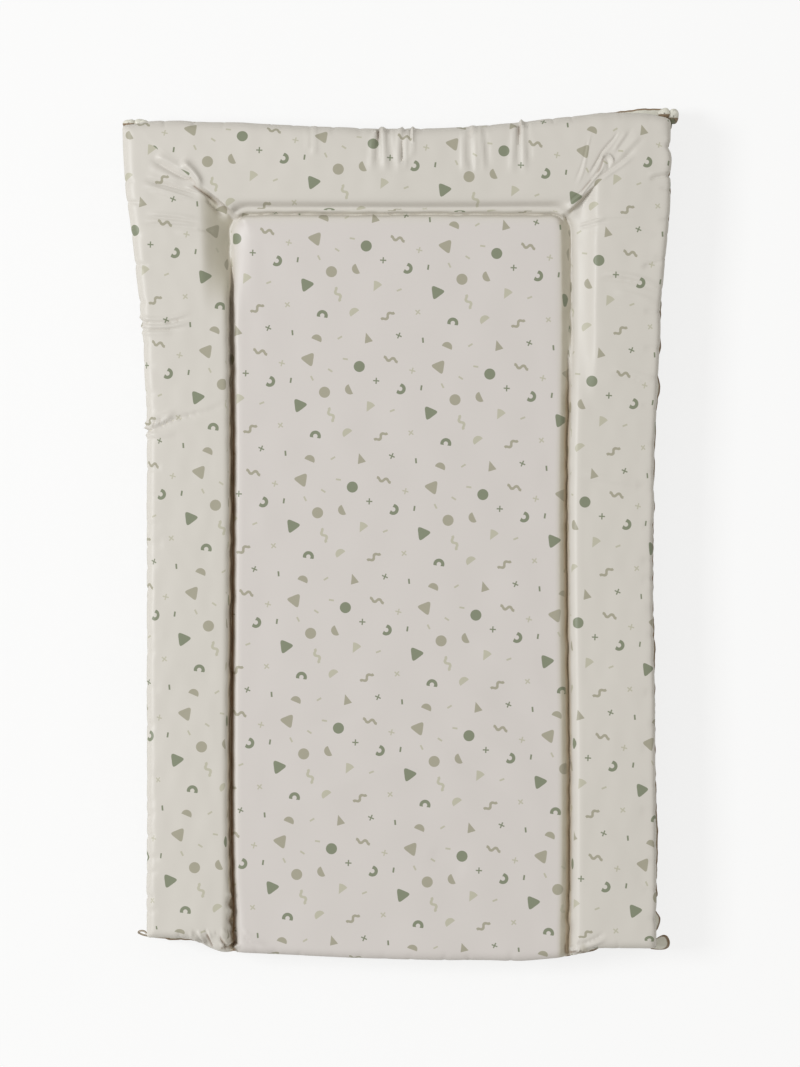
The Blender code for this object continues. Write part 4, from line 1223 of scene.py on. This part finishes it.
# how far the cut edge reaches past the stuffed outline at places along each edge, in millimetres
SHOWN_AT_FOOT = (
    (-250, 1), (-236, 1), (-204, 3.4), (-190, 2.6), (-176, 0), (-140, 0), (-60, 1.2), (60, 1.2),
    (140, 0.4), (152, 2.6), (176, 2.8), (188, 0.5), (250, 0.5),
)
SHOWN_RIGHT = (
    (-385, 1), (-364, 1.5), (-358, 4.6), (-351, 6.2), (-343, 2), (-335, 0.4), (-328, 3.4), (-313, 2.9),
    (-290, 3.9), (-276, 4), (-250, 3.2), (-186, 2.7), (-130, 2.6), (-103, 3.8), (-88, 3.2), (-60, 2.6),
    (-20, 2.8), (31, 2.8), (41, 1.4), (50, 2.8), (62, 3.2), (76, 2.6), (94, 2.9), (112, 2.2),
    (120, 3.4), (130, 4.8), (138, 4.4), (146, 2.6), (160, 2.4), (172, 3.4), (185, 2.7), (210, 3.1),
    (222, 1.6), (232, 1.8), (242, 2.7), (260, 2.5), (290, 2.7), (312, 3.1), (324, 1.2), (330, 3),
    (338, 2.8), (349, 0.9), (362, 3.2), (372, 2.6), (385, 3),
)
SHOWN_AT_HEAD = (
    (-250, 2), (-236, 0.8), (-226, 0.4), (-220, 0.4), (-214, 2), (-207, 3.4), (-186, 3.6), (-120, 3),
    (-60, 2.4), (0, 1.4), (80, 1.6), (150, 2.6), (181, 3.4), (193, 4.6), (206, 6.6), (218, 8.4),
    (231, 11), (240, 12.5), (250, 12),
)
SHOWN_LEFT = ((-385, 0.6), (-340, 0), (300, 0), (350, 0.6), (362, 2.8), (370, 1), (385, 2))

half_x, low_y, high_y = EDGE_X - SEAM_INSET, FOOT_Y + SEAM_INSET, HEAD_Y - SEAM_INSET
band_corners = np.array([(-half_x, low_y), (half_x, low_y), (half_x, high_y), (-half_x, high_y)])
seam_path, shown = [], []
for number, table in enumerate((SHOWN_AT_FOOT, SHOWN_RIGHT, SHOWN_AT_HEAD, SHOWN_LEFT)):
    start, end = band_corners[number], band_corners[(number + 1) % 4]
    run = np.linalg.norm(end - start)
    way = (end - start) / run
    out = np.array([way[1], -way[0]])
    stops = np.arange(BAND_CORNER, run - BAND_CORNER, BAND_STEP)
    straight = np.stack(stuffed(*(start + way * stops[:, None]).T, 1), axis=-1)
    seam_path.append(straight)
    shown.append(eased(straight[:, number % 2] * 1000, table))
    turns = np.linspace(0, math.pi / 2, 9)[1:-1, None]
    bend = end - (way + out) * BAND_CORNER + BAND_CORNER * (out * np.cos(turns) + way * np.sin(turns))
    seam_path.append(np.stack(stuffed(*bend.T, 1), axis=-1))
    shown.append(np.full(len(bend), np.nan))
seam_path, shown = np.concatenate(seam_path), np.concatenate(shown)
numbers = np.arange(len(shown))
known = ~np.isnan(shown)
shown = np.interp(numbers, numbers[known], shown[known], period=len(shown)) / 1000
ahead = np.roll(seam_path, -1, axis=0) - np.roll(seam_path, 1, axis=0)
outward = np.stack([ahead[:, 1], -ahead[:, 0]], axis=-1)
outward /= np.linalg.norm(outward, axis=1, keepdims=True)
ripple, small_ripple = (wander(*seam_path.T, size, seed) for size, seed in BAND_RIPPLES)
shown += RIPPLES_OUT[0] * ripple + RIPPLES_OUT[1] * small_ripple
band_level = np.linspace(0, 1, 9)
reach = SEAM_INSET + shown
band_width = np.maximum(BAND_WIDTH, reach * BAND_LEAST_SLANT)
drop = np.sqrt(band_width**2 - reach**2)
band_points = np.zeros((len(shown), len(band_level), 3))
band_out = (band_level * reach[:, None] - BAND_OVERLAP)[..., None]
band_points[..., :2] = seam_path[:, None, :] + outward[:, None, :] * band_out
wave = (RIPPLES_UP[0] * ripple + RIPPLES_UP[1] * small_ripple)[:, None] * band_level
band_points[..., 2] = SEAM_HEIGHT - drop[:, None] * band_level**BAND_DROOP + wave
band_faces = crossing_faces(*band_points.shape[:2])
join = np.arange(len(band_level) - 1)
last_row = (len(shown) - 1) * len(band_level)
closing = np.stack([last_row + join, join, join + 1, last_row + join + 1], axis=-1)
band_faces = np.concatenate([band_faces, closing])[:, ::-1]
band_parts = [(band_points, band_faces, (1 - band_level) * band_width[:, None] * 1000)]

# the film curls and crumples at the corners, in millimetres: a narrow curl on edge at the foot on the
# left, the rim of a wide scroll at the foot on the right and the place it spreads from, and the
# crumpled knots at the head: middle, half size, turn in degrees, how deep they are creased and seed
CURL_AT_FOOT = (
    (-210.5, -368.6, 23), (-217.8, -368, 24), (-224.7, -367.2, 25), (-232, -365.7, 27),
    (-235.6, -364.4, 28), (-238.1, -362.8, 29), (-237.5, -361, 30), (-234.7, -360, 31),
    (-231.6, -360.6, 31), (-229.4, -362.6, 31),
)
CURL_WIDTH = 1.3
CURL_LEAN = -0.8
CURL_CUT_SHARE = 4.4
SCROLL_RIM = (
    (228.9, -371.3, 26), (232.6, -369, 29), (235.9, -366.3, 32), (240, -364.3, 34), (243.1, -365.2, 34),
    (245.2, -368.8, 33), (245.7, -372.5, 31), (244.6, -375.8, 28), (241.3, -377.9, 25),
    (235.5, -378.4, 23), (229.2, -378, 22),
)
SCROLL_ROOT = (227.3, -374.9, 22)
SCROLL_BULGE = 0.10
SCROLL_LIP = 0.8
SCROLL_LIP_WIDTH = 0.9
# the scroll's brown reaches in from its rim for its cut edge and as painted shade inside the open roll
SCROLL_CUT_AND_SHADE_SHARE = 0.6
KNOTS_AT_HEAD = (
    ((-245.8, 373.1, 36), (5, 3, 4), 14, 0.8, 31),
    ((-235, 372.9, 35), (6.6, 3.5, 4.5), -6, 0.8, 32),
    ((-224.1, 372, 33), (6.5, 1.8, 3), -4, 0.5, 37),
    ((240.9, 382.5, 28), (4.9, 4.4, 5), 30, 0.8, 33),
    ((249.2, 379.9, 28), (4.1, 6.3, 5), -8, 0.9, 34),
)
KNOT_SQUARENESS = 0.8
KNOT_DENT_SIZE = 15
KNOT_DENT_WIDTH = 0.22
KNOT_DENT_DEPTH = 0.28
KNOT_SWELL = 0.10
KNOT_ENDS = 1.52
# the knots' brown base: their cut edge, and painted shade where they meet the mat
KNOT_CUT_AND_SHADE = 0.9
KNOT_CUT_AND_SHADE_SHARE = 0.3
PRINTED_SPOT = (247.8, 374.8)
PRINTED_SPOT_SIZE = 3.4
ROUND_THE_EAR = 40
ACROSS_THE_EAR = 16


def curl_points():
    """A narrow strip with its cut edge outside, leaning down to the inside of the curl."""
    path = smooth_line(CURL_AT_FOOT)
    ahead = np.gradient(path[:, :2], axis=0)
    inward = np.stack([ahead[:, 1], -ahead[:, 0]], axis=-1) / np.linalg.norm(ahead, axis=1, keepdims=True)
    share = np.linspace(0, 1, 7)[:, None]
    to_inside = np.concatenate([inward * CURL_WIDTH, np.full((len(path), 1), CURL_LEAN)], axis=1)
    strip = path[:, None, :] + to_inside[:, None] * share
    return strip, np.minimum(share, 1 - share)[:, 0] * CURL_CUT_SHARE + np.zeros(strip.shape[:2])


def scroll_points():
    """Smooth film that spreads from the corner of the mat to a rolled rim."""
    rim, root = smooth_line(SCROLL_RIM), np.array(SCROLL_ROOT, float)
    share = np.linspace(0, 1, ACROSS_THE_EAR)[:, None]
    spread = rim[:, None, :] + (root - rim)[:, None, :] * share
    long = np.linalg.norm(root - rim, axis=1)[:, None]
    spread[..., 2] += SCROLL_BULGE * long * np.sin(np.pi * share[:, 0])
    spread[..., 2] -= SCROLL_LIP * hump(share[:, 0] * long, SCROLL_LIP_WIDTH)
    return spread, share[:, 0] * long * SCROLL_CUT_AND_SHADE_SHARE


def knot_points(middle, half, turn, creased, seed):
    """A closed, squarish knot of crumpled film, brown at its base towards the mat, for its cut edge showing
    underneath and as painted shade where it meets the mat.
    """
    around = np.linspace(0, math.tau, ROUND_THE_EAR + 1)
    around, up = np.meshgrid(around, np.linspace(-KNOT_ENDS, KNOT_ENDS, ACROSS_THE_EAR), indexing="ij")
    way = np.stack([np.cos(around) * np.cos(up), np.sin(around) * np.cos(up), np.sin(up)], axis=-1)
    way = np.sign(way) * np.abs(way) ** KNOT_SQUARENESS
    knot = way * half
    dents = np.abs(wander(knot[..., 0] + knot[..., 2], knot[..., 1] - knot[..., 2], KNOT_DENT_SIZE, seed))
    dented = KNOT_SWELL - KNOT_DENT_DEPTH * hump(dents, KNOT_DENT_WIDTH, 1.2)
    knot *= (1 + creased * dented)[..., None]
    cosine, sine = math.cos(math.radians(turn)), math.sin(math.radians(turn))
    x = knot[..., 0] * cosine - knot[..., 1] * sine
    y = knot[..., 0] * sine + knot[..., 1] * cosine
    from_brown_edge = np.clip(y + half[1] * KNOT_CUT_AND_SHADE_SHARE, 0, None) + KNOT_CUT_AND_SHADE
    return np.stack([x, y, knot[..., 2]], axis=-1) + middle, from_brown_edge


ears = [curl_points(), scroll_points(), *(knot_points(*knot) for knot in KNOTS_AT_HEAD)]
for ear_points, from_brown_edge in ears:
    band_parts.append((ear_points / 1000, crossing_faces(*ear_points.shape[:2]), from_brown_edge))
counts = np.cumsum([0] + [points.shape[0] * points.shape[1] for points, _, _ in band_parts])
band = made_of(
    "weld_band",
    np.concatenate([points.reshape(-1, 3) for points, _, _ in band_parts]),
    np.concatenate([faces + count for (_, faces, _), count in zip(band_parts, counts)]),
)
store(band, "from_brown_edge", np.concatenate([from_brown_edge.reshape(-1) for _, _, from_brown_edge in band_parts]))
band_plan = np.concatenate([points.reshape(-1, 3)[:, :2] for points, _, _ in band_parts]) * 1000
store(band, "print", hump(np.linalg.norm(band_plan - PRINTED_SPOT, axis=1), PRINTED_SPOT_SIZE, 4))
give_wall(band, BAND_PLIES, 0)
band_finish = Finish("weld_band", roughness=0.42)
band_place = band_finish.place()
from_brown_edge = band_finish.stored("from_brown_edge")
band_cloud = band_finish.mottle(band_place, 160, 3)
band_colour = band_finish.blend(band_cloud, paint(219, 217, 206), paint(229, 227, 217))
# brown along the cut edges; on the scroll and the knots it is painted shade as well
cut_and_shade_line = band_finish.within(from_brown_edge + band_cloud * 0.8, 2.5, 1.5)
band_colour = band_finish.blend(cut_and_shade_line * 0.9, band_colour, paint(122, 94, 60))
green_spot = band_finish.stored("print")
band_colour = band_finish.blend(green_spot, band_colour, paint(126, 131, 110))
band_finish.cover(
    band,
    Base_Color=band_colour,
    Roughness=band_cloud * 0.2 + 0.3,
    Normal=band_finish.raised(band_finish.mottle(band_place, 700), distance=0.00005),
)
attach(band, "root")
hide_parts("edge_seam")

# Floor, light and camera
# A plain white floor that keeps the mat's soft shadow, a large soft light from the upper left with a
# weak one opposite, and a camera looking straight down from well above.
FLOOR_SIZE = 60
FLOOR_GAP = 0.0006
FLOOR_GLOW = 0.8
SKY_COLOUR = (1, 0.97, 0.88, 1)
SKY_STRENGTH = 0.42
LAMP_COLOUR = (0.96, 0.98, 1)
bpy.ops.object.select_all(action="DESELECT")
bpy.ops.mesh.primitive_plane_add(size=FLOOR_SIZE, location=(0, 0, -FLOOR_GAP))
floor = bpy.context.active_object
floor.name = "floor"
floor_finish = Finish("white_floor", roughness=0.9)
seen = floor_finish.node("LightPath", {}, {}, "Is Camera Ray")
floor_cloud = floor_finish.mottle(floor_finish.place(), per_metre=3)
floor_tone = floor_finish.blend(floor_cloud, paint(232, 232, 231), paint(235, 235, 234))
floor_finish.cover(floor, Base_Color=floor_tone)
glow = floor_finish.node("Emission", {}, {"Color": (1, 1, 1, 1), "Strength": 1})
lit = Reading(floor_finish, floor_finish.shader.outputs[0])
floor_look = floor_finish.node("MixShader", {}, {0: seen * FLOOR_GLOW, 1: lit, 2: glow})
floor_finish.tree.links.new(floor_look.socket, floor_finish.tree.nodes["Material Output"].inputs["Surface"])

scene = bpy.context.scene
world = bpy.data.worlds.new("studio")
scene.world = world
world.use_nodes = True
sky = world.node_tree.nodes["Background"]
sky.inputs["Color"].default_value = SKY_COLOUR
sky.inputs["Strength"].default_value = SKY_STRENGTH


def soft_light(name, place, size, power):
    """A square lamp that faces the middle of the mat."""
    light = bpy.data.lights.new(name, "AREA")
    light.shape = "SQUARE"
    light.size = size
    light.energy = power
    light.color = LAMP_COLOUR
    lamp = bpy.data.objects.new(name, light)
    lamp.location = place
    lamp.rotation_mode = "QUATERNION"
    lamp.rotation_quaternion = (-lamp.location).to_track_quat("-Z", "Y")
    scene.collection.objects.link(lamp)


soft_light("window", (-3.05, 0.35, 3.6), 1.3, 145)
soft_light("fill", (2.7, 0.4, 3.2), 2.0, 17)

CAMERA_HEIGHT = 4.0
CAMERA_OVER = (0.0004, 0.0006)
FOCAL_HEIGHT = 0.05
PHOTO_LENGTH = 0.9656
SENSOR = 36
camera_data = bpy.data.cameras.new("camera")
camera_data.sensor_width = SENSOR
camera_data.lens = SENSOR * (CAMERA_HEIGHT - FOCAL_HEIGHT) / PHOTO_LENGTH
camera = bpy.data.objects.new("camera", camera_data)
camera.location = (*CAMERA_OVER, CAMERA_HEIGHT)
scene.collection.objects.link(camera)
scene.camera = camera
scene.view_settings.view_transform = "Standard"
